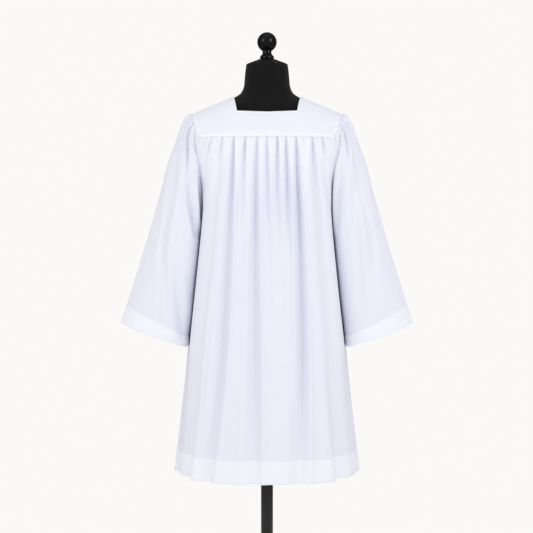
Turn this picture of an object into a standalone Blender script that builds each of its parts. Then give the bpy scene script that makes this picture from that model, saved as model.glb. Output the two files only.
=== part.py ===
"""A white surplice on a black dress form.

Metres, +Z up, origin on the floor under the middle of the form. The garment's back faces -Y.
The garment is six walls of cloth: two yokes, two gathered panels and two sleeves. Each wall is
a loft through sections worked out from the tables below, with its folds added, and an inner
side that is the same loft moved in by the thickness of the cloth.
"""

import math
from collections import namedtuple

import bpy
import numpy as np

# ---------------------------------------------------------------- driving dimensions
CLOTH = 0.0018  # wall of one layer
HEM_WALL = 0.0030  # wall where the hem is turned up
SEAM_GAP = 0.0005  # between two pieces at a seam
ARMHOLE_GAP = 0.0007  # between a sleeve and the armhole it is set into
HEM_DEPTH = 0.058  # turned-up hem of the two panels
CUFF_DEPTH = 0.050  # turned-up hem of a sleeve
SLEEVE_LENGTH = 0.62  # from the armhole to the cuff, down the middle of the sleeve

SHOULDER_X = 0.2025  # where the shoulder seam meets the armhole
SHOULDER_Z = 1.4005
NECK_SHARE = 0.454  # half the neckline's width at its top as a share of the shoulder's
NECK_LOW_SHARE = 0.412  # the same at its lower edge: the neckline's sides lean in
NECK_Z = 1.4475  # where the shoulder seam meets the neckline
NECK_DIP = 0.007  # how much lower the neckline is at its middle
YOKE_TURN = math.radians(72)  # how far a yoke turns down from the shoulder to its seam
WELT = 0.0006  # how proud the pressed seam stands along a yoke's lower edge
WELT_HEIGHT = 0.008

UNDERARM_Z = 1.145
ARMHOLE_ROWS = (1.274, 1.240, 1.205, 1.175, 1.155, UNDERARM_Z)  # shared by panels and sleeves
HANGING_ROWS = (1.110, 1.030, 0.930, 0.840, 0.750, 0.600)
HEM_Z = 0.444
EDGE_PULL = 5  # how closely the armhole's curve keeps to the panels' edges; the rest hangs straight
BESIDE = 0.0018  # between a sleeve and the side of the body

GATHERS = 28  # across each panel's yoke seam
GATHER_DEPTH = 0.0027
GATHER_FADE = 0.042  # how far below the seam the small gathers die out
SEAM_HOLD = 0.8  # how much of a large fold the yoke seam holds flat
SEAM_REACH = 0.007  # how far below the seam that dies out
HEAD_GATHERS = 11  # round the top of each sleeve
HEAD_REACH = math.radians(78)  # how far they go down each side of the armhole
HEAD_DEPTH = 0.0030
HEAD_FADE = 0.12  # as a share of the sleeve's length

FORM_SIDES = 32
POLE_RADIUS = 0.016
FOOT_RADIUS = 0.185
FOOT_HEIGHT = 0.014

Yoke = namedtuple("Yoke", "side seam_z neck_turn")
BACK = Yoke(side=-1, seam_z=1.328, neck_turn=math.radians(43.5))
FRONT = Yoke(side=1, seam_z=1.305, neck_turn=math.radians(58.3))

# Level curves of the two panels. Above the underarm, edge_x and edge_y follow the armhole.
# squareness is the curve's exponent: 2 is an ellipse, and more is a squarer outline.
Level = namedtuple("Level", "z edge_x edge_y back front squareness")
LEVELS = [
    Level(1.330, 0.1775, 0.1000, 0.1205, 0.1190, 2.30),
    Level(1.305, 0.1800, 0.1005, 0.1290, 0.1240, 2.35),
    Level(1.280, 0.1810, 0.0985, 0.1345, 0.1360, 2.60),
    Level(1.240, 0.1760, 0.0860, 0.1405, 0.1460, 3.10),
    Level(1.200, 0.1725, 0.0620, 0.1455, 0.1510, 3.80),
    Level(1.165, 0.1710, 0.0330, 0.1495, 0.1540, 4.60),
    Level(1.145, 0.1702, 0.0000, 0.1515, 0.1555, 4.80),
    Level(1.110, 0.1720, 0.0000, 0.1550, 0.1585, 5.00),
    Level(1.035, 0.1790, 0.0000, 0.1630, 0.1660, 5.00),
    Level(0.950, 0.1882, 0.0000, 0.1718, 0.1738, 4.85),
    Level(0.870, 0.1975, 0.0000, 0.1800, 0.1815, 4.60),
    Level(0.800, 0.2064, 0.0000, 0.1872, 0.1882, 4.10),
    Level(0.694, 0.2175, 0.0000, 0.1980, 0.1985, 3.20),
    Level(0.444, 0.2460, 0.0000, 0.2210, 0.2205, 2.40),
]

# The larger folds of each panel. seam to hem say where the valley runs at the shares FOLD_DROPS of
# the panel's height, from -1 at the -X edge to 1 at the +X edge; at_seam to at_hem are its depth
# there, and narrow and wide its width. lean widens the side of the valley that faces the panel's
# edge, as where one lobe of the skirt stands in front of the next.
FOLD_DROPS = (0.0, 0.16, 0.34, 0.62, 1.0)
Fold = namedtuple(
    "Fold", "seam chest waist low hem at_seam at_chest at_waist at_low at_hem narrow wide lean"
)
BACK_FOLDS = [
    Fold(-0.95, -0.92, -0.89, -0.87, -0.86, 0.000, 0.000, 0.002, 0.005, 0.006, 0.012, 0.024, 1.0),
    Fold(-0.64, -0.61, -0.58, -0.585, -0.585, 0.003, 0.005, 0.006, 0.013, 0.025, 0.009, 0.015, 3.2),
    Fold(-0.475, -0.42, -0.39, -0.365, -0.41, 0.004, 0.009, 0.011, 0.014, 0.011, 0.009, 0.017, 1.0),
    Fold(-0.31, -0.29, -0.31, -0.31, -0.31, 0.004, 0.005, 0.000, 0.000, 0.000, 0.009, 0.016, 1.0),
    Fold(-0.14, -0.13, -0.11, -0.09, -0.08, 0.004, 0.009, 0.010, 0.013, 0.010, 0.009, 0.017, 1.0),
    Fold(0.005, 0.01, 0.01, 0.01, 0.02, 0.003, 0.005, 0.002, 0.000, 0.000, 0.009, 0.016, 1.0),
    Fold(0.15, 0.13, 0.12, 0.10, 0.09, 0.004, 0.005, 0.001, 0.000, 0.000, 0.009, 0.016, 1.0),
    Fold(0.275, 0.26, 0.24, 0.20, 0.19, 0.004, 0.007, 0.004, 0.004, 0.003, 0.009, 0.014, 1.0),
    Fold(0.425, 0.39, 0.35, 0.305, 0.23, 0.004, 0.011, 0.012, 0.016, 0.012, 0.009, 0.017, 1.0),
    Fold(0.665, 0.62, 0.58, 0.555, 0.555, 0.004, 0.009, 0.010, 0.014, 0.025, 0.009, 0.015, 3.2),
    Fold(0.81, 0.80, 0.76, 0.75, 0.76, 0.002, 0.002, 0.000, 0.003, 0.004, 0.009, 0.018, 1.0),
    Fold(0.95, 0.92, 0.89, 0.87, 0.86, 0.000, 0.000, 0.002, 0.005, 0.006, 0.012, 0.024, 1.0),
]
FRONT_FOLDS = [
    Fold(-0.94, -0.92, -0.89, -0.87, -0.87, 0.000, 0.000, 0.004, 0.007, 0.010, 0.012, 0.026, 1.0),
    Fold(-0.80, -0.79, -0.75, -0.70, -0.66, 0.003, 0.005, 0.005, 0.010, 0.019, 0.009, 0.018, 2.2),
    Fold(-0.66, -0.62, -0.56, -0.51, -0.48, 0.004, 0.006, 0.006, 0.005, 0.003, 0.009, 0.018, 1.0),
    Fold(-0.43, -0.42, -0.40, -0.37, -0.34, 0.004, 0.009, 0.010, 0.012, 0.011, 0.009, 0.019, 1.0),
    Fold(-0.27, -0.26, -0.27, -0.25, -0.24, 0.003, 0.005, 0.003, 0.000, 0.000, 0.009, 0.016, 1.0),
    Fold(-0.13, -0.13, -0.13, -0.13, -0.13, 0.003, 0.007, 0.009, 0.009, 0.006, 0.009, 0.018, 1.0),
    Fold(0.02, 0.01, 0.00, 0.01, 0.02, 0.003, 0.005, 0.003, 0.000, 0.000, 0.009, 0.016, 1.0),
    Fold(0.17, 0.14, 0.11, 0.11, 0.11, 0.004, 0.007, 0.009, 0.010, 0.008, 0.009, 0.018, 1.0),
    Fold(0.34, 0.28, 0.23, 0.21, 0.20, 0.004, 0.006, 0.004, 0.000, 0.000, 0.009, 0.016, 1.0),
    Fold(0.50, 0.44, 0.38, 0.34, 0.33, 0.004, 0.009, 0.010, 0.012, 0.010, 0.009, 0.019, 1.0),
    Fold(0.67, 0.61, 0.54, 0.49, 0.46, 0.004, 0.005, 0.005, 0.003, 0.000, 0.009, 0.016, 1.0),
    Fold(0.82, 0.78, 0.72, 0.67, 0.64, 0.003, 0.005, 0.008, 0.012, 0.019, 0.009, 0.018, 2.2),
    Fold(0.94, 0.91, 0.87, 0.86, 0.86, 0.000, 0.000, 0.004, 0.007, 0.011, 0.012, 0.026, 1.0),
]

# Sections of the sleeve on the +X side, from the armhole to the cuff. over_x and over_z give the
# line over the arm, and under_z the height of the line that runs down beside the body. depth is
# half the size from back to front, and droop how much lower the back and front hang than the
# straight line between the two.
Section = namedtuple("Section", "along over_x over_z under_z depth droop")
SLEEVE = [
    Section(0.00, 0.2030, 1.4000, 1.1440, 0.1000, 0.000),
    Section(0.03, 0.2110, 1.3975, 1.1320, 0.1010, 0.000),
    Section(0.07, 0.2225, 1.3860, 1.1170, 0.1020, 0.000),
    Section(0.13, 0.2355, 1.3590, 1.0960, 0.1030, 0.001),
    Section(0.21, 0.2490, 1.3180, 1.0680, 0.1040, 0.001),
    Section(0.32, 0.2655, 1.2635, 1.0320, 0.1040, 0.002),
    Section(0.44, 0.2850, 1.1950, 0.9870, 0.1035, 0.003),
    Section(0.56, 0.3055, 1.1230, 0.9420, 0.1030, 0.003),
    Section(0.68, 0.3280, 1.0460, 0.8975, 0.1020, 0.004),
    Section(0.80, 0.3525, 0.9660, 0.8520, 0.1010, 0.004),
    Section(0.92, 0.3765, 0.8895, 0.8075, 0.1000, 0.003),
    Section(1.00, 0.3925, 0.8415, 0.7790, 0.0985, 0.002),
]
FLAT_SIDE = 6.0  # exponent of the half of a section that lies along the body; the rest is round
TAPER = 0.10  # how much narrower that half is at the body

# Long soft folds of a sleeve: the turn round the section in degrees from the line over the arm,
# then the depth, at the shares FOLD_ALONGS of the sleeve's length, and the width in degrees. The
# two sets are for the two broad sides of a sleeve: the front of each has the other's back.
FOLD_ALONGS = (0.0, 0.15, 0.35, 0.60, 1.0)
SleeveFold = namedtuple(
    "SleeveFold", "head upper middle lower cuff at_head at_upper at_middle at_lower at_cuff width"
)
LEFT_BACK_FOLDS = [
    SleeveFold(23, 36, 55, 73, 110, 0.001, 0.006, 0.007, 0.005, 0.002, 9),
    SleeveFold(42, 60, 80, 103, 128, 0.001, 0.002, 0.000, 0.002, 0.003, 11),
]
RIGHT_BACK_FOLDS = [
    SleeveFold(23, 35, 60, 70, 100, 0.001, 0.006, 0.007, 0.005, 0.002, 9),
    SleeveFold(50, 70, 84, 101, 124, 0.001, 0.002, 0.006, 0.003, 0.001, 11),
]

# Level curves of the form, which are ellipses apart from the neck's circles.
FormLevel = namedtuple("FormLevel", "z half_width back front")
FORM = [
    FormLevel(0.755, 0.150, 0.104, 0.104),
    FormLevel(0.762, 0.160, 0.113, 0.113),
    FormLevel(0.790, 0.168, 0.120, 0.116),
    FormLevel(0.840, 0.167, 0.121, 0.114),
    FormLevel(0.900, 0.153, 0.112, 0.107),
    FormLevel(0.970, 0.136, 0.097, 0.101),
    FormLevel(1.030, 0.131, 0.092, 0.100),
    FormLevel(1.100, 0.140, 0.098, 0.107),
    FormLevel(1.170, 0.151, 0.106, 0.119),
    FormLevel(1.230, 0.161, 0.110, 0.119),
    FormLevel(1.290, 0.171, 0.109, 0.111),
    FormLevel(1.340, 0.180, 0.105, 0.101),
    FormLevel(1.3700, 0.184, 0.0940, 0.0930),
    FormLevel(1.3915, 0.180, 0.0865, 0.0860),
    FormLevel(1.4039, 0.169, 0.0818, 0.0810),
    FormLevel(1.4200, 0.1420, 0.0768, 0.0735),
    FormLevel(1.4340, 0.1083, 0.0685, 0.0660),
    FormLevel(1.4440, 0.0900, 0.0630, 0.0622),
    FormLevel(1.4500, 0.0790, 0.0618, 0.0615),
    FormLevel(1.4570, 0.0705, 0.0614, 0.0612),
    FormLevel(1.4680, 0.0645, 0.0612, 0.0612),
    FormLevel(1.4800, 0.0615, 0.0610, 0.0610),
    FormLevel(1.4980, 0.0602, 0.0602, 0.0602),
    FormLevel(1.5110, 0.0590, 0.0590, 0.0590),
    FormLevel(1.5230, 0.0575, 0.0575, 0.0575),
    FormLevel(1.5300, 0.0566, 0.0566, 0.0566),
]

Turn = namedtuple("Turn", "radius z")
CAP_PROFILE = [
    Turn(0.0000, 1.5486),
    Turn(0.0185, 1.5486),
    Turn(0.0225, 1.5481),
    Turn(0.0265, 1.5467),
    Turn(0.0345, 1.5433),
    Turn(0.0500, 1.5367),
    Turn(0.0545, 1.5344),
    Turn(0.0562, 1.5328),
    Turn(0.0567, 1.5313),
    Turn(0.0567, 1.5304),
    Turn(0.0000, 1.5304),
]
BALL_RADIUS = 0.0263
BALL_Z = 1.5957
WAIST_RADIUS = 0.0122
WAIST_Z = 1.5662
BEAD_RADIUS = 0.0189
BEAD_Z = 1.5528
BEAD_HALF = 0.0085
FINIAL_FOOT_RADIUS = 0.0175
FINIAL_FOOT_Z = 1.5490
FOOT_PROFILE = [
    Turn(0.000, FOOT_HEIGHT),
    Turn(0.030, FOOT_HEIGHT),
    Turn(0.120, 0.0115),
    Turn(0.176, 0.0085),
    Turn(0.183, 0.0065),
    Turn(FOOT_RADIUS, 0.0030),
    Turn(FOOT_RADIUS, 0.0000),
    Turn(0.000, 0.0000),
]


# ---------------------------------------------------------------- tables and curves
def column(table, name):
    return np.array([getattr(row, name) for row in table], float)


def smooth_through(xs, ys, at):
    """A smooth curve through the points (xs, ys), read at the places at."""
    order = np.argsort(xs)
    xs, ys = np.asarray(xs, float)[order], np.asarray(ys, float)[order]
    slopes = np.gradient(ys, xs)
    at = np.clip(at, xs[0], xs[-1])
    i = np.clip(np.searchsorted(xs, at) - 1, 0, len(xs) - 2)
    span = xs[i + 1] - xs[i]
    t = (at - xs[i]) / span
    return (
        ys[i] * (1 + 2 * t) * (1 - t) ** 2
        + ys[i + 1] * t**2 * (3 - 2 * t)
        + span * slopes[i] * t * (1 - t) ** 2
        + span * slopes[i + 1] * t**2 * (t - 1)
    )


def level(z, name):
    return smooth_through(column(LEVELS, "z"), column(LEVELS, name), z)


def level_outline(yoke, z):
    """One level curve of a panel from its middle to its edge: x, y and the length so far."""
    depth = level(z, "back" if yoke.side < 0 else "front")
    edge_x, edge_y = level(z, "edge_x"), np.maximum(level(z, "edge_y"), 0.0)
    power = level(z, "squareness")
    half_width = edge_x / (1 - (edge_y / depth) ** power) ** (1 / power)
    turn = np.linspace(0, np.arctan2(edge_x, edge_y), 181)
    reach = ((np.sin(turn) / half_width) ** power + (np.cos(turn) / depth) ** power) ** (-1 / power)
    x, y = reach * np.sin(turn), reach * np.cos(turn)
    length = np.concatenate([[0], np.cumsum(np.hypot(np.diff(x), np.diff(y)))])
    return x, y, length


def hanging_half(yoke, z):
    """Half the width that a panel would have at this level if its edges hung straight."""
    seam, hem = level_outline(yoke, yoke.seam_z)[2][-1], level_outline(yoke, HEM_Z)[2][-1]
    return hem + (seam - hem) * (z - HEM_Z) / (yoke.seam_z - HEM_Z)


def level_curve(yoke, z, across):
    """Points of one level curve of a panel, at places across it from -1 to 1."""
    x, y, length = level_outline(yoke, z)
    hanging = hanging_half(yoke, z)
    beside = np.abs(across)
    place = beside * hanging + beside**EDGE_PULL * (length[-1] - hanging)
    return np.sign(across) * np.interp(place, length, x), yoke.side * np.interp(place, length, y)


# ---------------------------------------------------------------- panels
def gather_lines():
    """Where the gathers' ridges (even) and valleys (odd) lie across a panel, from -1 to 1."""
    i = np.arange(2 * GATHERS + 1)
    even = i / GATHERS - 1
    uneven = 0.008 * np.sin(2.4 * i + 0.7)
    uneven[[0, -1]] = 0
    return even + uneven


def gather_wave(across, below):
    """How far the small gathers stand out, at a distance below the yoke seam."""
    lines = gather_lines()
    phase = np.interp(across, lines, np.arange(len(lines)))
    strength = 0.72 + 0.28 * np.sin(1.7 * phase + 0.4)
    rise = np.clip(0.25 + below / 0.010, 0, 1)
    return GATHER_DEPTH * strength * rise * np.exp(-((below / GATHER_FADE) ** 2)) * np.cos(np.pi * phase)


def fold_depths(folds, across, drop, half_length):
    """The large folds of a panel at the share drop of its height: valleys with low ridges beside."""
    out = np.zeros_like(across)
    for fold in folds:
        place = smooth_through(FOLD_DROPS, fold[0:5], drop)
        depth = smooth_through(FOLD_DROPS, fold[5:10], drop)
        width = fold.narrow + (fold.wide - fold.narrow) * drop
        toward_edge = (across - place) * np.sign(place) > 0
        lean = np.where(toward_edge, 1 + (fold.lean - 1) * drop, 1)
        off = (across - place) * half_length / (width * lean)
        ridge = 0.4 / lean**3
        out += depth * (ridge * np.exp(-((np.abs(off) - 2.0) ** 2)) - np.exp(-(off**2)))
    return out


def panel_wall(yoke, folds):
    """Outer and inner points of a panel, in rows from the yoke seam down to the hem."""
    across = gather_lines()
    top = yoke.seam_z - SEAM_GAP
    height = top - HEM_Z
    turned = height - HEM_DEPTH
    gathered = [0, 0.006, 0.015, 0.030]
    below = gathered + [top - z for z in ARMHOLE_ROWS + HANGING_ROWS] + [turned - 0.002, turned, height]
    outer, inner = [], []
    for down in below:
        z = top - down
        x, y = level_curve(yoke, z, across)
        before = level_curve(yoke, z, across - 0.004)
        after = level_curve(yoke, z, across + 0.004)
        normal = np.stack([after[1] - before[1], before[0] - after[0]], axis=1) * -yoke.side
        normal /= np.linalg.norm(normal, axis=1)[:, None]
        if z <= UNDERARM_Z:
            normal[[0, -1]] = [(-1, 0), (1, 0)]
        drop = down / height
        calm = np.clip((1 - np.abs(across)) / 0.06, 0, 1)
        settled = 1 - SEAM_HOLD * math.exp(-down / SEAM_REACH)
        out = settled * fold_depths(folds, across, drop, hanging_half(yoke, z))
        out += gather_wave(across, down)
        place = np.stack([x, y + yoke.side * SEAM_GAP / 2], axis=1) + normal * (out * calm)[:, None]
        wall = HEM_WALL if down >= turned else CLOTH
        outer.append(np.column_stack([place, np.full(len(x), z)]))
        inner.append(np.column_stack([place - normal * wall, np.full(len(x), z)]))
    return np.array(outer), np.array(inner)


# ---------------------------------------------------------------- yokes
def turned_share(turn):
    """Height above the yoke seam, as a share of the height at the shoulder, after this turn."""
    return (np.cos(turn) - math.cos(YOKE_TURN)) / (1 - math.cos(YOKE_TURN))


def yoke_point(yoke, across, turn):
    """A point of a yoke: across from -1 to 1, turn from 0 at the shoulder seam to YOKE_TURN."""
    share = turned_share(turn)
    seam_x = level(yoke.seam_z, "edge_x")
    edge_x = seam_x + (SHOULDER_X - seam_x) * share
    outward = np.clip((np.abs(across) - NECK_SHARE) / (1 - NECK_SHARE), 0, 1)
    inward = np.clip(1 - np.abs(across) / NECK_SHARE, 0, 1)
    crest = NECK_Z + (SHOULDER_Z - NECK_Z) * outward**0.97 - NECK_DIP * inward**0.6
    _, seam_y = level_curve(yoke, yoke.seam_z, across)
    x = across * edge_x
    y = seam_y * np.sin(turn) / math.sin(YOKE_TURN)
    z = yoke.seam_z + (crest - yoke.seam_z) * share
    return np.stack([x, y, z], axis=-1)


def yoke_wall(yoke):
    """Outer and inner points of a yoke and which of its cells are cloth: the neckline is open."""
    beside = np.linspace(NECK_SHARE, 1, 9)
    across = np.concatenate([-beside[::-1], np.linspace(-NECK_SHARE, NECK_SHARE, 9)[1:-1], beside])
    welt_turn = YOKE_TURN - WELT_HEIGHT / level(yoke.seam_z, "back" if yoke.side < 0 else "front")
    turns = np.concatenate(
        [
            np.linspace(0, yoke.neck_turn, 6),
            np.linspace(yoke.neck_turn, welt_turn - 0.012, 4)[1:],
            [welt_turn, YOKE_TURN],
        ]
    )
    marks = [-1, -NECK_SHARE, NECK_SHARE, 1]
    outer, inner = [], []
    for turn in turns:
        share = NECK_SHARE + (NECK_LOW_SHARE - NECK_SHARE) * min(turn / yoke.neck_turn, 1.0)
        place = np.interp(across, marks, [-1, -share, share, 1])
        here = yoke_point(yoke, place, turn)
        along = yoke_point(yoke, place + 1e-3, turn) - yoke_point(yoke, place - 1e-3, turn)
        down = yoke_point(yoke, place, turn + 1e-3) - yoke_point(yoke, place, turn - 1e-3)
        normal = np.cross(along, down) * yoke.side
        if turn == YOKE_TURN:
            normal[:, 2] = 0  # square to the panel's edge
        normal /= np.linalg.norm(normal, axis=1)[:, None]
        here[:, 1] += yoke.side * SEAM_GAP / 2
        proud = WELT if turn >= welt_turn else 0.0
        outer.append(here + normal * proud)
        inner.append(here - normal * CLOTH)
    cloth = np.ones((len(turns) - 1, len(across) - 1), bool)
    above_neckline = turns[1:] <= yoke.neck_turn + 1e-9
    middle = np.abs(across[1:] + across[:-1]) / 2 < NECK_SHARE
    cloth[np.ix_(above_neckline, middle)] = False
    return np.array(outer), np.array(inner), cloth


# ---------------------------------------------------------------- sleeves
def armhole(turn):
    """The armhole on the +X side at a turn from the shoulder, positive to the back."""
    middle_z = (SHOULDER_Z + UNDERARM_Z) / 2
    z = middle_z + (SHOULDER_Z - UNDERARM_Z) / 2 * np.cos(turn)
    x, y = np.empty_like(turn), np.empty_like(turn)
    for yoke, here in ((BACK, np.sin(turn) >= 0), (FRONT, np.sin(turn) < 0)):
        on_yoke = here & (z >= yoke.seam_z)
        share = (z[on_yoke] - yoke.seam_z) / (SHOULDER_Z - yoke.seam_z)
        cosine = math.cos(YOKE_TURN) + share * (1 - math.cos(YOKE_TURN))
        seam_x, seam_y = level(yoke.seam_z, "edge_x"), level(yoke.seam_z, "edge_y")
        x[on_yoke] = seam_x + (SHOULDER_X - seam_x) * share
        y[on_yoke] = yoke.side * seam_y * np.sqrt(np.maximum(1 - cosine**2, 0)) / math.sin(YOKE_TURN)
        on_panel = here & ~on_yoke
        x[on_panel] = level(z[on_panel], "edge_x")
        y[on_panel] = yoke.side * np.maximum(level(z[on_panel], "edge_y"), 0)
    return np.stack([x + ARMHOLE_GAP, y, z], axis=-1)


def plain_section(turn, along):
    """A sleeve section with no folds, before it is fitted to the armhole."""
    over_x, over_z, under_z, depth, droop = (
        smooth_through(column(SLEEVE, "along"), column(SLEEVE, name), along)
        for name in Section._fields[1:]
    )
    over = np.array([over_x, 0, over_z])
    under = np.array([level(under_z, "edge_x") + BESIDE, 0, under_z])
    power = np.where(np.cos(turn) < 0, FLAT_SIDE, 2.0)
    reach = (np.abs(np.cos(turn)) ** power + np.abs(np.sin(turn)) ** power) ** (-1 / power)
    toward = np.cos(turn) * reach
    aside = np.sin(turn) * reach
    points = (over + under) / 2 + np.outer(toward, (over - under) / 2)
    points[:, 1] -= aside * depth * (1 - TAPER * np.maximum(-toward, 0) ** 1.5)
    points[:, 2] -= aside**2 * droop
    return points


def sleeve_section(turn, along):
    """A sleeve section that starts on the armhole and takes its own shape within a third."""
    fitted = max(0.0, 1 - along / 0.34) ** 2
    return plain_section(turn, along) + fitted * (armhole(turn) - plain_section(turn, 0.0))


def head_lines():
    """Turns of the gathers' ridges and valleys round the top of a sleeve."""
    i = np.arange(2 * HEAD_GATHERS + 1)
    even = (i / HEAD_GATHERS - 1) * HEAD_REACH
    return even + np.radians(1.0) * np.sin(2.1 * i)


def sleeve_out(turn, along, back_folds, front_folds):
    """How far the folds move a sleeve's points out."""
    lines = head_lines()
    phase = np.interp(turn, lines, np.arange(len(lines)))
    inside = np.clip((HEAD_REACH - np.abs(turn)) / 0.12 + 0.5, 0, 1)
    rise = min(1.0, 0.25 + along / 0.02)
    strength = 0.7 + 0.3 * np.sin(1.9 * phase + 1.0)
    fade = math.exp(-((along / HEAD_FADE) ** 2))
    out = HEAD_DEPTH * rise * fade * strength * inside * np.cos(np.pi * phase)
    for side, folds in ((1, back_folds), (-1, front_folds)):
        for fold in folds:
            place = side * smooth_through(FOLD_ALONGS, fold[0:5], along)
            depth = smooth_through(FOLD_ALONGS, fold[5:10], along)
            off = (np.degrees(turn) - place) / fold.width
            out += depth * (0.4 * np.exp(-((np.abs(off) - 2.0) ** 2)) - np.exp(-(off**2)))
    return out


def sleeve_wall(mirror, back_folds, front_folds):
    """Outer and inner points of a sleeve, in rings from the armhole to the cuff."""
    middle_z, half = (SHOULDER_Z + UNDERARM_Z) / 2, (SHOULDER_Z - UNDERARM_Z) / 2
    rest = np.arccos((np.array(ARMHOLE_ROWS) - middle_z) / half)
    turn = np.concatenate([head_lines(), rest, -rest[-2::-1]])
    cuff = 1 - CUFF_DEPTH / SLEEVE_LENGTH
    rings = [0, 0.015, 0.04, 0.075, 0.12, 0.19, 0.28, 0.40, 0.53, 0.66, 0.79, cuff - 0.004, cuff, 1]
    outer, inner = [], []
    for along in rings:
        step = 1e-3
        here = sleeve_section(turn, along)
        round_it = sleeve_section(turn + step, along) - sleeve_section(turn - step, along)
        down = sleeve_section(turn, along + step) - sleeve_section(turn, max(along - step, 0))
        normal = np.cross(round_it, down)
        if along == 0:
            normal[:, 0] = 0
        normal /= np.linalg.norm(normal, axis=1)[:, None]
        place = here + normal * sleeve_out(turn, along, back_folds, front_folds)[:, None]
        wall = HEM_WALL if along >= cuff else CLOTH
        outer.append(place)
        inner.append(place - normal * wall)
    flip = np.array([mirror, 1, 1])
    return np.array(outer) * flip, np.array(inner) * flip


# ---------------------------------------------------------------- making the solids
def add_object(name, points, faces, collection, material):
    mesh = bpy.data.meshes.new(name)
    mesh.from_pydata([tuple(p) for p in points], [], faces)
    mesh.materials.append(material)
    mesh.shade_smooth()
    obj = bpy.data.objects.new(name, mesh)
    collection.objects.link(obj)
    return obj


def loft_wall(name, outer, inner, collection, material, cloth=None, ring=False, flip=False):
    """A wall between two grids of points, closed along every open edge.

    ring joins each row's last point to its first, and flip turns every face round.
    """
    rows, columns = outer.shape[:2]
    cells_across = columns if ring else columns - 1
    cloth = np.ones((rows - 1, cells_across), bool) if cloth is None else cloth
    faces = []
    edges = {}

    def number(row, col, layer):
        return layer * rows * columns + row * columns + col % columns

    for row, col in np.argwhere(cloth):
        corners = [(row, col), (row + 1, col), (row + 1, col + 1), (row, col + 1)]
        faces.append([number(r, c, 0) for r, c in corners])
        faces.append([number(r, c, 1) for r, c in reversed(corners)])
        for (r0, c0), (r1, c1) in zip(corners, corners[1:] + corners[:1]):
            a, b = number(r0, c0, 0), number(r1, c1, 0)
            if (b, a) in edges:
                del edges[(b, a)]
            else:
                edges[(a, b)] = True
    layer = rows * columns
    faces += [[b, a, a + layer, b + layer] for a, b in edges]
    if flip:
        faces = [face[::-1] for face in faces]
    points = np.concatenate([outer.reshape(-1, 3), inner.reshape(-1, 3)])
    used = sorted({i for face in faces for i in face})
    renumber = {old: new for new, old in enumerate(used)}
    faces = [[renumber[i] for i in face] for face in faces]
    return add_object(name, points[used], faces, collection, material)


def make_form(collection, material):
    """The torso and neck: level curves joined by faces, with a flat oval at each end."""
    turn = np.linspace(0, 2 * math.pi, FORM_SIDES, endpoint=False)
    points, faces = [], []
    for row in FORM:
        depth = np.where(np.cos(turn) > 0, row.back, row.front)
        x, y = row.half_width * np.sin(turn), -depth * np.cos(turn)
        points += list(zip(x, y, np.full(FORM_SIDES, row.z)))
    for r in range(len(FORM) - 1):
        for c in range(FORM_SIDES):
            d = (c + 1) % FORM_SIDES
            low, high = r * FORM_SIDES, (r + 1) * FORM_SIDES
            faces.append([low + c, low + d, high + d, high + c])
    faces.append(list(range(FORM_SIDES))[::-1])
    faces.append([(len(FORM) - 1) * FORM_SIDES + c for c in range(FORM_SIDES)])
    return add_object("form_torso", points, faces, collection, material)


def turned(name, profile, collection, material, steps):
    """A turned piece: its profile, from the top of the axis down its outer side, screwed round."""
    mesh = bpy.data.meshes.new(name)
    points = [(p.radius, 0.0, p.z) for p in profile]
    mesh.from_pydata(points, [(i, i + 1) for i in range(len(points) - 1)], [])
    mesh.materials.append(material)
    obj = bpy.data.objects.new(name, mesh)
    collection.objects.link(obj)
    screw = obj.modifiers.new("turn", "SCREW")
    screw.steps = screw.render_steps = steps
    screw.use_merge_vertices = True
    screw.merge_threshold = 0.00005
    screw.use_smooth_shade = True
    return obj


def finial_profile():
    """A ball on a waist on a bead, from the top down."""
    ball_end = math.radians(152)
    bead_start = math.radians(15)
    ball = [
        Turn(BALL_RADIUS * math.sin(a), BALL_Z + BALL_RADIUS * math.cos(a))
        for a in np.linspace(0, ball_end, 11)
    ]
    bead = [
        Turn(WAIST_RADIUS + (BEAD_RADIUS - WAIST_RADIUS) * math.sin(a), BEAD_Z + BEAD_HALF * math.cos(a))
        for a in np.linspace(bead_start, math.pi / 2, 5)
    ]
    foot = [Turn(FINIAL_FOOT_RADIUS, FINIAL_FOOT_Z), Turn(0.0, FINIAL_FOOT_Z)]
    return ball + [Turn(WAIST_RADIUS, WAIST_Z)] + bead + foot


def make_material(name, colour, roughness, metallic=0.0):
    material = bpy.data.materials.new(name)
    material.use_nodes = True
    shader = material.node_tree.nodes["Principled BSDF"]
    shader.inputs["Base Color"].default_value = (*colour, 1.0)
    shader.inputs["Roughness"].default_value = roughness
    shader.inputs["Metallic"].default_value = metallic
    return material


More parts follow.
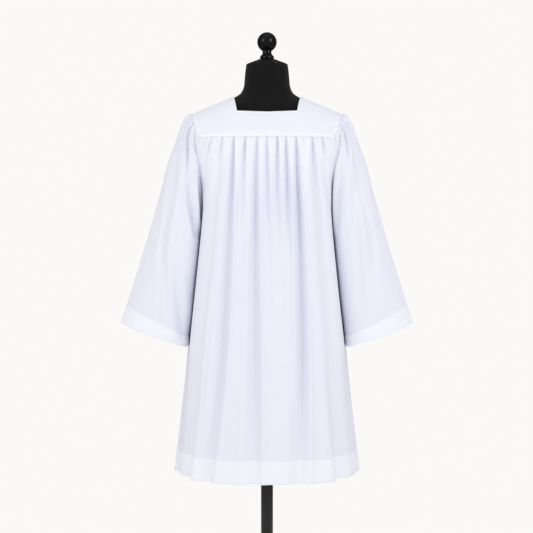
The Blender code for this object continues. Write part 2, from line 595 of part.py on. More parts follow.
def main():
    for obj in list(bpy.data.objects):
        bpy.data.objects.remove(obj)
    surplice = bpy.data.collections.new("surplice_on_dress_form")
    bpy.context.scene.collection.children.link(surplice)
    white = make_material("white_cloth", (0.86, 0.88, 0.94), 0.85)
    black = make_material("black_jersey", (0.016, 0.016, 0.016), 0.9)
    gloss = make_material("black_gloss", (0.008, 0.008, 0.009), 0.25)
    metal = make_material("black_metal", (0.012, 0.012, 0.013), 0.4)

    for yoke, name in ((BACK, "back"), (FRONT, "front")):
        outer, inner, cloth = yoke_wall(yoke)
        loft_wall(f"{name}_yoke", outer, inner, surplice, white, cloth, flip=yoke.side > 0)
        folds = BACK_FOLDS if yoke is BACK else FRONT_FOLDS
        outer, inner = panel_wall(yoke, folds)
        loft_wall(f"{name}_panel", outer, inner, surplice, white, flip=yoke.side > 0)
    for mirror, name, back_folds, front_folds in (
        (-1, "left", LEFT_BACK_FOLDS, RIGHT_BACK_FOLDS),
        (1, "right", RIGHT_BACK_FOLDS, LEFT_BACK_FOLDS),
    ):
        outer, inner = sleeve_wall(mirror, back_folds, front_folds)
        loft_wall(f"sleeve_{name}", outer, inner, surplice, white, ring=True, flip=mirror > 0)

    make_form(surplice, black)
    turned("neck_cap", CAP_PROFILE, surplice, gloss, 28)
    turned("finial", finial_profile(), surplice, gloss, 24)
    turned("stand_base", FOOT_PROFILE, surplice, metal, 40)
    pole_top = FORM[0].z - SEAM_GAP
    pole = [Turn(0, pole_top), Turn(POLE_RADIUS, pole_top)]
    pole += [Turn(POLE_RADIUS, FOOT_HEIGHT + SEAM_GAP), Turn(0, FOOT_HEIGHT + SEAM_GAP)]
    turned("stand_pole", pole, surplice, metal, 24)


main()
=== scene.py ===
# %% [markdown]
# # A white surplice on a black dress form
#
# A surplice is a loose white over-garment of thin cloth. Its body is two wide panels, back and
# front, gathered into a smooth yoke that lies over the shoulders, and its sleeves are wide
# tubes gathered into the armholes. This lesson makes each cut piece as its own thin shell of
# cloth, and then the turned and padded stand that carries them. We start by loading the packed
# solids, which fix every size.

import math
from collections import namedtuple

import bpy
import numpy as np
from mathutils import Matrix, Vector


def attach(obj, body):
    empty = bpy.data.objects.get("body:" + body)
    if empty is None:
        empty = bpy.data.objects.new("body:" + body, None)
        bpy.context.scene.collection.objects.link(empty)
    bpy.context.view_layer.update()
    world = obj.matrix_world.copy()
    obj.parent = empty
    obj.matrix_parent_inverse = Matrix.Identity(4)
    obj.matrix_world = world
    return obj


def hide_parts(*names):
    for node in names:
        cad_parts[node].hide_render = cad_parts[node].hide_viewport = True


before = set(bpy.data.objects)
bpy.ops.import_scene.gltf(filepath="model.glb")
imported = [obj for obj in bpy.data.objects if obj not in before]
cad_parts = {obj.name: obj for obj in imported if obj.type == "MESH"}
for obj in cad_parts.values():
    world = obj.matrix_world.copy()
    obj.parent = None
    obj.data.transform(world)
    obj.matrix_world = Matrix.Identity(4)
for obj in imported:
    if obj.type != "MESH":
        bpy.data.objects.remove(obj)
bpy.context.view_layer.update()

# %% [markdown]
# ## Camera
#
# The view is square on to the back of the garment, at about the height of its middle. A longish
# lens from three metres keeps the sides nearly parallel, as in a catalogue picture. The lens is
# worked out from the height that the picture takes in at the form, so that it is easy to change.

# %% Place the camera
VIEW_DISTANCE = 3.0
VIEW_HEIGHT = 0.99
HALF_HEIGHT_SEEN = 0.71955
SENSOR = 36.0
PICTURE = 533


def add_object(name, data):
    obj = bpy.data.objects.new(name, data)
    bpy.context.scene.collection.objects.link(obj)
    return obj


def add_camera():
    data = bpy.data.cameras.new("studio_camera")
    data.sensor_width = SENSOR
    data.lens = SENSOR / 2 * VIEW_DISTANCE / HALF_HEIGHT_SEEN
    data.shift_x = -0.5 / PICTURE
    data.clip_end = 60
    camera = add_object("studio_camera", data)
    camera.location = (0, -VIEW_DISTANCE, VIEW_HEIGHT)
    camera.rotation_euler = (math.radians(90), 0, 0)
    bpy.context.scene.camera = camera
    print("lens", round(data.lens, 1), "mm")


add_camera()

# %% [markdown]
# ## Shader expressions
#
# A material in Blender is a graph of nodes, and long sums are tiresome to wire one node at a
# time. The class below wraps the output socket of a node, so that an expression such as
# `1 - mask * 0.2` adds the Math nodes itself. Everything that isn't arithmetic comes from one
# method, which takes the node's type, its settings and the values or links of its inputs.


# %% Wires
class Wire:
    """An output socket that can be added, multiplied and so on."""

    def __init__(self, box, socket):
        self.box, self.socket = box, socket

    def math(self, operation, first, second=0.0):
        inputs = {0: first, 1: second}
        return self.box.node("ShaderNodeMath", {"operation": operation}, inputs)

    def __add__(self, other):
        return self.math("ADD", self, other)

    def __rsub__(self, other):
        return self.math("SUBTRACT", other, self)

    def __mul__(self, other):
        return self.math("MULTIPLY", self, other)

    def sine(self):
        return self.math("SINE", self)

    def at_least(self, low):
        return self.math("MAXIMUM", self, low)

    def smooth_step(self, low, high):
        settings = {"interpolation_type": "SMOOTHSTEP"}
        inputs = {"Value": self, "From Min": low, "From Max": high}
        return self.box.node("ShaderNodeMapRange", settings, inputs)

    def beside(self, output):
        """Another output of the same node."""
        return Wire(self.box, self.socket.node.outputs[output])

    __radd__ = __add__
    __rmul__ = __mul__


# %% Boxes of nodes
class NodeBox:
    """A node tree and the nodes that are added to it."""

    def __init__(self, tree):
        self.tree = tree

    def node(self, kind, settings=None, inputs=None, output=0):
        made = self.tree.nodes.new(kind)
        for name, value in (settings or {}).items():
            setattr(made, name, value)
        for name, value in (inputs or {}).items():
            if isinstance(value, Wire):
                self.tree.links.new(value.socket, made.inputs[name])
            else:
                made.inputs[name].default_value = value
        return Wire(self, made.outputs[output])

    def finish(self, wire, node, socket):
        """Links a wire to the node that ends the tree."""
        self.tree.links.new(wire.socket, self.tree.nodes[node].inputs[socket])


class PaintBox(NodeBox):
    """A new material and its nodes."""

    def __init__(self, name, roughness, **constants):
        self.material = bpy.data.materials.new(name)
        self.material.use_nodes = True
        super().__init__(self.material.node_tree)
        self.shader = self.tree.nodes["Principled BSDF"]
        self.shader.inputs["Roughness"].default_value = roughness
        for socket, value in constants.items():
            self.shader.inputs[socket.replace("_", " ")].default_value = value

    def feed(self, socket, wire):
        self.tree.links.new(wire.socket, self.shader.inputs[socket])

    def place(self, scale, source="Object"):
        """Object coordinates, or a piece's own UV, stretched by scale."""
        coordinates = self.node("ShaderNodeTexCoord", output=source)
        inputs = {"Vector": coordinates, "Scale": scale}
        return self.node("ShaderNodeMapping", inputs=inputs)

    def noise(self, vector, scale, detail=2.0):
        inputs = {"Vector": vector, "Scale": scale, "Detail": detail}
        return self.node("ShaderNodeTexNoise", {"normalize": True}, inputs)

    def mix(self, share, first, second):
        inputs = {0: share, 6: first, 7: second}
        return self.node("ShaderNodeMix", {"data_type": "RGBA"}, inputs, output=2)

    def bump(self, height, distance, strength=1.0):
        inputs = {"Height": height, "Distance": distance, "Strength": strength}
        self.feed("Normal", self.node("ShaderNodeBump", inputs=inputs))


# %% [markdown]
# ## White cloth
#
# The cloth is a thin, matt, faintly bluish white plain weave. What makes it read as cloth is
# that it isn't one flat colour: where it lies double, at the hems, the yoke and the seams, it is
# whiter and less see-through, and the single layer is greyer with soft clouds where the weave
# is looser. Just under the yoke seams the panels are painted whiter too, a painted light that
# lifts the shade of the deep gathers. The pattern follows the cloth, so it reads each piece's UV
# map, which is laid out in metres of cut cloth. A sheen on the shader stands for the fuzz of the
# fibres.

# %% Mix the cloth
SINGLE_LAYER = (0.812, 0.825, 0.915, 1.0)
# the colour of cloth that lies double, also painted under the yoke seams as painted light on the
# gathers
DOUBLE_LAYER_AND_PAINTED_LIGHT = (0.885, 0.893, 0.960, 1.0)
THREAD = 0.0006  # from one thread of the weave to the next but one
CLOUDS, SLUBS = 28.0, (900.0, 60.0, 1.0)  # how many to a metre


def make_cloth():
    shine = {"Sheen_Weight": 0.15, "Sheen_Roughness": 0.5, "Specular_IOR_Level": 0.25}
    box = PaintBox("white_plain_weave", 0.88, **shine)
    cut = box.place((1, 1, 1), "UV")
    layers_and_painted_light = box.node("ShaderNodeAttribute", {"attribute_name": "layers_and_painted_light"}, output="Fac")
    clouds = box.noise(cut, CLOUDS, 3.0)
    slubs = box.noise(box.place(SLUBS, "UV"), 1.0, 2.0)
    # whiter where the cloth lies double, and painted whiter under the yoke seams to lift the
    # gathers' shade
    colour = box.mix(layers_and_painted_light, SINGLE_LAYER, DOUBLE_LAYER_AND_PAINTED_LIGHT)
    tone = 0.975 + clouds * 0.035 + slubs * 0.015
    shaded = box.node("ShaderNodeVectorMath", {"operation": "SCALE"}, {0: colour, "Scale": tone})
    box.feed("Base Color", shaded)
    box.feed("Roughness", 0.82 + clouds * 0.12)
    parts = box.node("ShaderNodeSeparateXYZ", inputs={"Vector": cut})
    turn = 2 * math.pi / THREAD
    warp = (parts * turn).sine()
    weft = (parts.beside("Y") * turn).sine()
    box.bump(warp * weft * 0.35 + slubs, 0.00012, 0.35)
    return box.material


CLOTH_PAINT = make_cloth()
print("cloth nodes:", len(CLOTH_PAINT.node_tree.nodes))

# %% [markdown]
# ## The rule of the shape
#
# The solids were worked out from a few tables: level curves for the body, a curve for the
# armhole, and sections for the sleeve. We repeat those tables here, because the shells must lie
# on the same forms, but read them far more finely. `smooth_through` draws a smooth curve through
# a short table, and `level_curve` gives a line across a panel at one height.

# %% Sizes and tables of the body
SEAM_GAP = 0.0005
ARMHOLE_GAP = 0.0007
HEM_DEPTH = 0.058
CUFF_DEPTH = 0.050
SLEEVE_LENGTH = 0.62
SHOULDER_X = 0.2025
SHOULDER_Z = 1.4005
NECK_SHARE = 0.454
NECK_LOW_SHARE = 0.412
NECK_Z = 1.4475
NECK_DIP = 0.007
YOKE_TURN = math.radians(72)
UNDERARM_Z = 1.145
HEM_Z = 0.444
EDGE_PULL = 5
BESIDE = 0.0018

Yoke = namedtuple("Yoke", "side seam_z neck_turn")
BACK = Yoke(side=-1, seam_z=1.328, neck_turn=math.radians(43.5))
FRONT = Yoke(side=1, seam_z=1.305, neck_turn=math.radians(58.3))

Level = namedtuple("Level", "z edge_x edge_y back front squareness")
LEVELS = [
    Level(1.330, 0.1775, 0.1000, 0.1205, 0.1190, 2.30),
    Level(1.305, 0.1800, 0.1005, 0.1290, 0.1240, 2.35),
    Level(1.280, 0.1810, 0.0985, 0.1345, 0.1360, 2.60),
    Level(1.240, 0.1760, 0.0860, 0.1405, 0.1460, 3.10),
    Level(1.200, 0.1725, 0.0620, 0.1455, 0.1510, 3.80),
    Level(1.165, 0.1710, 0.0330, 0.1495, 0.1540, 4.60),
    Level(1.145, 0.1702, 0.0000, 0.1515, 0.1555, 4.80),
    Level(1.110, 0.1720, 0.0000, 0.1550, 0.1585, 5.00),
    Level(1.035, 0.1790, 0.0000, 0.1630, 0.1660, 5.00),
    Level(0.950, 0.1882, 0.0000, 0.1718, 0.1738, 4.85),
    Level(0.870, 0.1975, 0.0000, 0.1800, 0.1815, 4.60),
    Level(0.800, 0.2064, 0.0000, 0.1872, 0.1882, 4.10),
    Level(0.694, 0.2175, 0.0000, 0.1980, 0.1985, 3.20),
    Level(0.444, 0.2460, 0.0000, 0.2210, 0.2205, 2.40),
]


print("the skirt is", len(LEVELS), "levels, from", LEVELS[0].z, "m down to", HEM_Z, "m")


# %% Read the tables
def column(table, name):
    return np.array([getattr(row, name) for row in table], float)


def smooth_through(xs, ys, at):
    """A smooth curve through the points (xs, ys), read at the places at."""
    order = np.argsort(xs)
    xs, ys = np.asarray(xs, float)[order], np.asarray(ys, float)[order]
    slopes = np.gradient(ys, xs)
    at = np.clip(at, xs[0], xs[-1])
    i = np.clip(np.searchsorted(xs, at) - 1, 0, len(xs) - 2)
    span = xs[i + 1] - xs[i]
    t = (at - xs[i]) / span
    return (
        ys[i] * (1 + 2 * t) * (1 - t) ** 2
        + ys[i + 1] * t**2 * (3 - 2 * t)
        + span * slopes[i] * t * (1 - t) ** 2
        + span * slopes[i + 1] * t**2 * (t - 1)
    )


def level(z, name):
    return smooth_through(column(LEVELS, "z"), column(LEVELS, name), z)


def level_outline(yoke, z):
    """One level curve of a panel from its middle to its edge: x, y and the length so far."""
    depth = level(z, "back" if yoke.side < 0 else "front")
    edge_x, edge_y = level(z, "edge_x"), np.maximum(level(z, "edge_y"), 0.0)
    power = level(z, "squareness")
    half_width = edge_x / (1 - (edge_y / depth) ** power) ** (1 / power)
    turn = np.linspace(0, np.arctan2(edge_x, edge_y), 181)
    reach = (np.sin(turn) / half_width) ** power + (np.cos(turn) / depth) ** power
    reach = reach ** (-1 / power)
    x, y = reach * np.sin(turn), reach * np.cos(turn)
    length = np.concatenate([[0], np.cumsum(np.hypot(np.diff(x), np.diff(y)))])
    return x, y, length


def hanging_half(yoke, z):
    """Half the width that a panel would have at this level if its edges hung straight."""
    seam = level_outline(yoke, yoke.seam_z)[2][-1]
    hem = level_outline(yoke, HEM_Z)[2][-1]
    return hem + (seam - hem) * (z - HEM_Z) / (yoke.seam_z - HEM_Z)


def level_curve(yoke, z, across):
    """Points of one level curve of a panel, at places across it from -1 to 1."""
    x, y, length = level_outline(yoke, z)
    hanging = hanging_half(yoke, z)
    beside = np.abs(across)
    place = beside * hanging + beside**EDGE_PULL * (length[-1] - hanging)
    out_x = np.sign(across) * np.interp(place, length, x)
    return out_x, yoke.side * np.interp(place, length, y)


print("half the hem's outline:", round(float(level_outline(BACK, HEM_Z)[2][-1]), 3), "m")

# %% [markdown]
# ## A shell of cloth
#
# Each cut piece is a grid of points, rows down the cloth and columns across it. `cloth_piece`
# joins them with faces, lays the UV map out in metres, and stores how far the cloth lies double,
# together with the painted light under the yoke seams, in an attribute that the material reads. A
# Solidify modifier then gives the shell its thickness on the inner side, so every open edge
# shows a real edge of cloth.


# %% Turn a grid into cloth
SHEET_THICKNESS = 0.0006


def cloth_piece(name, points, cut_u, cut_v, layers_and_painted_light, ring=False, keep=None, flip=False, thick=1.0):
    """A shell through a grid of points. cut_u and cut_v are its UV map, in metres."""
    rows, columns = points.shape[:2]
    cells = columns if ring else columns - 1
    keep = np.ones((rows - 1, cells), bool) if keep is None else keep
    row, col = np.nonzero(keep)
    corners = [(row, col), (row + 1, col), (row + 1, col + 1), (row, col + 1)]
    if flip:
        corners = corners[::-1]
    vertex = np.stack([r * columns + c % columns for r, c in corners], axis=1)
    u = np.stack([cut_u[r, c] for r, c in corners], axis=1)
    v = np.stack([cut_v[r, c] for r, c in corners], axis=1)
    used, faces = np.unique(vertex, return_inverse=True)
    faces = faces.reshape(-1, 4)
    mesh = bpy.data.meshes.new(name)
    mesh.from_pydata(points.reshape(-1, 3)[used].tolist(), [], faces.tolist())
    uv = mesh.uv_layers.new(name="cut")
    uv.data.foreach_set("uv", np.stack([u, v], axis=2).astype(np.float32).ravel())
    # how far the cloth lies double, together with the painted light under the yoke seams
    attribute = mesh.attributes.new("layers_and_painted_light", "FLOAT", "POINT")
    attribute.data.foreach_set("value", layers_and_painted_light.reshape(-1)[used].astype(np.float32))
    mesh.materials.append(CLOTH_PAINT)
    mesh.shade_smooth()
    obj = add_object(name, mesh)
    solidify = obj.modifiers.new("cloth thickness", "SOLIDIFY")
    solidify.thickness = SHEET_THICKNESS * thick
    solidify.offset = -1.0
    solidify.use_even_offset = False
    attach(obj, "root")
    print(f"{name}: {len(used)} points, {len(faces)} faces")
    return obj


def ease(share):
    """A share from 0 to 1 that starts and ends softly."""
    return share * share * (3 - 2 * share)


def bell(off, width):
    """One at off = 0, fading evenly on both sides."""
    return np.exp(-((off / width) ** 2))


def grid_normals(points, flip=False):
    """The outward direction at each point of a grid."""
    down = np.gradient(points, axis=0)
    across = np.gradient(points, axis=1)
    normal = np.cross(across, down) * (-1 if flip else 1)
    return normal / np.maximum(np.linalg.norm(normal, axis=2, keepdims=True), 1e-12)


print("a shell is", SHEET_THICKNESS * 1000, "mm thick")

# %% [markdown]
# ## Gathers and folds
#
# Gathering draws a wide panel up into a short seam, so right under the yoke there is a valley
# every centimetre or so. Most of them die out within a hand's width, and a few run on and
# deepen into the long folds of the skirt. A rule would space them too evenly, so they are
# placed one by one in two tables: `Gather` for the short ones and `Fold` for the long ones. A
# place is a share of the panel's half width, from -1 at one edge to 1 at the other.

# %% The short gathers
Gather = namedtuple("Gather", "seam drift deep long wide")
BACK_GATHERS = [
    Gather(-0.935, 0.000, 0.0022, 0.018, 0.0030),
    Gather(-0.876, -0.010, 0.0026, 0.020, 0.0030),
    Gather(-0.799, -0.060, 0.0042, 0.075, 0.0036),
    Gather(-0.717, 0.000, 0.0022, 0.016, 0.0028),
    Gather(-0.640, -0.025, 0.0046, 0.100, 0.0036),
    Gather(-0.550, 0.000, 0.0030, 0.016, 0.0028),
    Gather(-0.478, 0.045, 0.0050, 0.125, 0.0036),
    Gather(-0.393, 0.000, 0.0026, 0.014, 0.0028),
    Gather(-0.308, 0.005, 0.0056, 0.105, 0.0036),
    Gather(-0.238, 0.000, 0.0026, 0.016, 0.0028),
    Gather(-0.184, 0.000, 0.0020, 0.010, 0.0024),
    Gather(-0.138, 0.000, 0.0044, 0.090, 0.0040),
    Gather(-0.080, 0.000, 0.0022, 0.012, 0.0026),
    Gather(0.000, 0.012, 0.0044, 0.115, 0.0036),
    Gather(0.060, 0.000, 0.0022, 0.012, 0.0026),
    Gather(0.154, -0.015, 0.0056, 0.105, 0.0036),
    Gather(0.210, 0.000, 0.0026, 0.014, 0.0026),
    Gather(0.278, -0.010, 0.0048, 0.120, 0.0036),
    Gather(0.351, 0.000, 0.0030, 0.018, 0.0028),
    Gather(0.424, 0.000, 0.0046, 0.120, 0.0034),
    Gather(0.533, -0.030, 0.0040, 0.034, 0.0032),
    Gather(0.599, 0.000, 0.0020, 0.012, 0.0026),
    Gather(0.664, -0.020, 0.0050, 0.110, 0.0038),
    Gather(0.725, 0.000, 0.0028, 0.016, 0.0028),
    Gather(0.812, 0.000, 0.0048, 0.055, 0.0036),
    Gather(0.876, 0.000, 0.0026, 0.018, 0.0028),
    Gather(0.930, -0.010, 0.0022, 0.016, 0.0030),
]
FRONT_GATHERS = [
    Gather(0.018 - row.seam, 0.012 - row.drift, row.deep, row.long, row.wide)
    for row in BACK_GATHERS
]

print(len(BACK_GATHERS), "gathers, the longest", max(row.long for row in BACK_GATHERS), "m")

# %% The long folds
# A fold's place and depth at five heights, its half width at the seam and at the hem, and how
# much further it leans out on the side of the seam.
Fold = namedtuple(
    "Fold", "seam chest waist low hem d_seam d_chest d_waist d_low d_hem narrow wide lean"
)
FOLD_DROPS = [0.0, 0.16, 0.34, 0.62, 1.0]  # those heights, as shares of the way down
BACK_FOLDS = [
    Fold(-0.95, -0.92, -0.89, -0.87, -0.86, 0, 0, 0.002, 0.005, 0.006, 0.012, 0.024, 1),
    Fold(-0.64, -0.61, -0.583, -0.585, -0.585, 0.003, 0.006, 0.007, 0.014, 0.026, 0.007, 0.014,
         3.2),
    Fold(-0.475, -0.424, -0.39, -0.365, -0.41, 0.005, 0.015, 0.017, 0.02, 0.014, 0.0046,
         0.0135, 1),
    Fold(-0.308, -0.29, -0.31, -0.31, -0.31, 0.004, 0.007, 0, 0, 0, 0.0042, 0.013, 1),
    Fold(-0.138, -0.13, -0.112, -0.089, -0.08, 0.004, 0.015, 0.016, 0.018, 0.013, 0.0046,
         0.0135, 1),
    Fold(0.005, 0.012, 0.012, 0.01, 0.02, 0.004, 0.009, 0.004, 0, 0, 0.0042, 0.013, 1),
    Fold(0.154, 0.131, 0.119, 0.1, 0.09, 0.004, 0.009, 0.002, 0, 0, 0.0042, 0.013, 1),
    Fold(0.275, 0.258, 0.238, 0.201, 0.188, 0.004, 0.012, 0.006, 0.005, 0.003, 0.0042, 0.012, 1),
    Fold(0.424, 0.388, 0.352, 0.305, 0.23, 0.005, 0.021, 0.02, 0.023, 0.015, 0.0046, 0.0135, 1),
    Fold(0.666, 0.618, 0.581, 0.555, 0.555, 0.005, 0.014, 0.014, 0.015, 0.026, 0.007, 0.014, 3.2),
    Fold(0.812, 0.8, 0.76, 0.75, 0.76, 0.002, 0.002, 0, 0.003, 0.004, 0.006, 0.018, 1),
    Fold(0.95, 0.92, 0.89, 0.87, 0.86, 0, 0, 0.002, 0.005, 0.006, 0.012, 0.024, 1),
]
FRONT_FOLDS = [
    Fold(-0.94, -0.92, -0.89, -0.87, -0.87, 0, 0, 0.0045, 0.007, 0.01, 0.012, 0.026, 1),
    Fold(-0.8, -0.79, -0.75, -0.7, -0.66, 0.0026, 0.006, 0.006, 0.0112, 0.019, 0.008, 0.018, 2.2),
    Fold(-0.66, -0.62, -0.56, -0.51, -0.48, 0.0039, 0.0075, 0.0075, 0.0056, 0.003, 0.006,
         0.016, 1),
    Fold(-0.43, -0.42, -0.4, -0.37, -0.34, 0.0052, 0.012, 0.012, 0.0126, 0.011, 0.0065, 0.017, 1),
    Fold(-0.27, -0.26, -0.27, -0.25, -0.24, 0.0026, 0.006, 0.003, 0, 0, 0.0055, 0.014, 1),
    Fold(-0.13, -0.13, -0.13, -0.13, -0.13, 0.0026, 0.009, 0.0105, 0.0098, 0.006, 0.006, 0.016, 1),
    Fold(0.02, 0.01, 0, 0.01, 0.02, 0.0026, 0.006, 0.003, 0, 0, 0.0055, 0.014, 1),
    Fold(0.17, 0.14, 0.11, 0.11, 0.11, 0.0039, 0.009, 0.0105, 0.0112, 0.008, 0.006, 0.016, 1),
    Fold(0.34, 0.28, 0.23, 0.21, 0.2, 0.0039, 0.0075, 0.0045, 0, 0, 0.006, 0.014, 1),
    Fold(0.5, 0.44, 0.38, 0.34, 0.33, 0.0052, 0.012, 0.012, 0.0126, 0.01, 0.0065, 0.017, 1),
    Fold(0.67, 0.61, 0.54, 0.49, 0.46, 0.0039, 0.006, 0.006, 0.0028, 0, 0.006, 0.014, 1),
    Fold(0.82, 0.78, 0.72, 0.67, 0.64, 0.0026, 0.006, 0.009, 0.0126, 0.019, 0.008, 0.018, 2.2),
    Fold(0.94, 0.91, 0.87, 0.86, 0.86, 0, 0, 0.0045, 0.007, 0.011, 0.012, 0.026, 1),
]
print(len(BACK_FOLDS), "long folds at the back and", len(FRONT_FOLDS), "at the front")

# %% The form of a fold
FLOOR = 0.4  # how rounded the bottom of a fold is
GENTLE, STEEP = 1.35, 0.60  # how wide its two sides are, in half widths
RIDGE_OFF = 2.0  # how far out the ridges beside it stand
FOLD_RIDGE, GATHER_RIDGE = 0.4, 0.35  # and how high, against its depth
SOFTER, SOFTER_BY = 0.15, 0.4  # its steep side widens down the panel, by this share of the height


def crease(off, ridge, soft=0.0):
    """A fold across its line: a gentle side, a narrow floor, a steep side and low ridges."""
    off = np.abs(off) / np.where(off < 0, GENTLE, STEEP + soft)
    floor = np.exp(FLOOR - np.sqrt(off**2 + FLOOR**2))
    return ridge * np.exp(-((off - RIDGE_OFF) ** 2)) - floor


def fold_relief(folds, across, drop, half):
    """The long folds at the share drop of a panel's height: valleys with low ridges beside."""
    out = np.zeros_like(across)
    for fold in folds:
        place = smooth_through(FOLD_DROPS, fold[0:5], drop)
        depth = smooth_through(FOLD_DROPS, fold[5:10], drop)
        width = fold.narrow + (fold.wide - fold.narrow) * drop
        toward_edge = (across - place) * np.sign(place) > 0
        lean = np.where(toward_edge, 1 + (fold.lean - 1) * drop, 1)
        off = (across - place) * half / (width * lean)
        out += depth * crease(off, FOLD_RIDGE / lean**3, SOFTER * min(drop / SOFTER_BY, 1.0))
    return out


GATHER_STRENGTH = 1.75  # deeper than the table says, once the cloth is lit


def gather_relief(gathers, across, below, half):
    """The short gathers at a distance below the yoke seam."""
    out = np.zeros_like(across)
    ridge = GATHER_RIDGE * (1 - math.exp(-below / 0.006))
    widening = min(0.62 + below / 0.095, 1.4)
    for row in gathers:
        place = row.seam + row.drift * min(below / row.long, 1.0)
        off = (across - place) * half / (row.wide * widening)
        deep = row.deep * GATHER_STRENGTH * math.exp(-((below / row.long) ** 2))
        out += deep * crease(off, ridge)
    return out


deepest = fold_relief(BACK_FOLDS, np.linspace(-1, 1, 401), 0.5, 0.3).min()
print("half way down, the deepest fold goes in", round(-deepest * 1000, 1), "mm")

# %% [markdown]
# ## The two gathered panels
#
# A panel starts a few millimetres up under the yoke, where its seam allowance is, and hangs down
# to the hem. There the cloth turns round a small bend and goes up again inside, which is what a
# real hem is, and the turned-up depth shows outside as a whiter band with a slight ridge at its
# top. The outer edges turn in, where the side seams and the armholes are.

# %% Hems
BEND = 0.0008  # radius of a hem's fold
BEND_LENGTHS = 0.001 * np.arange(1, 5)  # how much cloth each of its rows has used up
BEND_LENGTH = 0.004  # and the whole fold
LAYER_GAP = 0.0002  # between the layers of a hem
TURNED_UP_FROM_TO = (0.008, HEM_DEPTH - 0.002)  # the rows inside the hem
HEM_LIFT, HEM_LIFT_REACH = 0.0006, 0.0015  # the step at the top of a hem
HEM_RIDGE, HEM_RIDGE_DOWN, HEM_RIDGE_WIDE = 0.0003, 0.003, 0.0025  # and the ridge on it


def lies_double(over_hem):
    """Nought above the hem and one on it."""
    return np.clip(over_hem / HEM_LIFT_REACH, 0, 1)


def hem_step(over_hem):
    """How far the second layer of a hem lifts the first, with a low ridge at its sewing."""
    ridge = HEM_RIDGE * bell(over_hem - HEM_RIDGE_DOWN, HEM_RIDGE_WIDE)
    return HEM_LIFT * lies_double(over_hem) + ridge


def hem_bend(edge, out, down):
    """The rows that carry a hem round its fold, from the outside to the inside."""
    turns = (0.8, 1.57, 2.3, 3.14)
    return [edge - out * BEND * (1 - math.cos(a)) + down * BEND * math.sin(a) for a in turns]


def hem_rows(height):
    """How far down each row of a panel lies, from the seam to the hem."""
    near = [0.0, 0.0015, 0.003, 0.005, 0.0075, 0.0105, 0.014, 0.018, 0.0225, 0.0275, 0.033, 0.039]
    top_of_hem = height - HEM_DEPTH
    long = np.linspace(0.046, top_of_hem - 0.006, 74)
    band = top_of_hem + np.array([-0.003, -0.001, 0.0, 0.0015, 0.004, 0.007])
    last = np.linspace(top_of_hem + 0.012, height, 7)
    return np.concatenate([near, long, band, last])


print("a hem lifts the cloth by", round(float(hem_step(HEM_DEPTH / 2)) * 1000, 1), "mm")


# %% The rows of a panel
TUCK = 0.006  # how far a panel goes up under its yoke
TUCK_BACK = 0.0040  # and how far behind its own face
ACROSS_STEPS = 361
A_LITTLE = 0.004  # across, to read the slope of a level curve
CALM_EDGE = 0.06  # how near the side seams the folds die out
SEAM_HOLD, SEAM_REACH = 0.8, 0.007  # how much of a fold the yoke seam holds flat, how far down
PUFF, PUFF_START, PUFF_REACH = 0.0024, 0.005, 0.04  # gathered cloth stands out below its seam
UNDER_WELT, WELT_REACH = 0.0018, 0.0035  # how it goes in under the yoke's edge
SIDE_TURN, SIDE_REACH = 0.0006, 0.002  # and in at the side seams


def panel_row(yoke, folds, gathers, across, down, height):
    """One level line of a panel with its folds, and the level directions out of it."""
    z = yoke.seam_z - SEAM_GAP - down
    x, y = level_curve(yoke, z, across)
    before = level_curve(yoke, z, across - A_LITTLE)
    after = level_curve(yoke, z, across + A_LITTLE)
    normal = np.stack([after[1] - before[1], before[0] - after[0]], axis=1) * -yoke.side
    normal /= np.linalg.norm(normal, axis=1)[:, None]
    if z <= UNDERARM_Z:
        normal[[0, -1]] = [(-1, 0), (1, 0)]
    half = hanging_half(yoke, z)
    out = fold_relief(folds, across, down / height, half)
    out += gather_relief(gathers, across, down, half)
    out *= 1 - SEAM_HOLD * math.exp(-down / SEAM_REACH)
    out += PUFF * (1 - math.exp(-down / PUFF_START)) * bell(down, PUFF_REACH)
    out *= ease(np.clip((1 - np.abs(across)) / CALM_EDGE, 0, 1))
    out -= UNDER_WELT * math.exp(-down / WELT_REACH)
    out -= SIDE_TURN * bell((1 - np.abs(across)) * half, SIDE_REACH)
    out += hem_step(down - (height - HEM_DEPTH))
    place = np.stack([x, y], axis=1) + normal * out[:, None]
    outward = np.column_stack([normal, np.zeros(len(x))])
    return np.column_stack([place, np.full(len(x), z)]), outward


def panel_grid(yoke, folds, gathers):
    """A panel's columns across, its rows' length down the cloth, and its grid of points."""
    across = np.linspace(-1, 1, ACROSS_STEPS)
    height = yoke.seam_z - SEAM_GAP - HEM_Z
    downs = hem_rows(height)
    rows, normals = zip(*(panel_row(yoke, folds, gathers, across, d, height) for d in downs))
    down = np.array([0, 0, -1.0])
    tuck = rows[0] - normals[0] * TUCK_BACK - down * TUCK
    turned_up = np.linspace(*TURNED_UP_FROM_TO, 6)
    inside = []
    for back_up in turned_up:
        row, normal = panel_row(yoke, folds, gathers, across, height - back_up, height)
        inside.append(row - normal * (2 * BEND + LAYER_GAP))
    grid = np.array([tuck, *rows, *hem_bend(rows[-1], normals[-1], down), *inside])
    inside = np.concatenate([BEND_LENGTHS, BEND_LENGTH + turned_up])
    length = np.concatenate([[-TUCK], downs, height + inside])
    return across, length, grid


print("a panel has", len(hem_rows(BACK.seam_z - HEM_Z)), "rows of", ACROSS_STEPS, "points")


# %% Make the panels
GATHERS_PAINTED_LIGHT = 0.95  # painted light: the gathered cloth is painted this near to the double colour
PAINTED_LIGHT_REACH = 0.11  # how far below the yoke seam that fades out
PAINTED_LIGHT_EDGE = 0.45  # and how wide it fades towards the sides
CUT_FULLNESS = 1.10  # of the cut cloth against the form that it hangs on
SEAM_ALLOWANCE = 0.006
FLANGE = 0.004
SEAM_LAYERS = 0.7


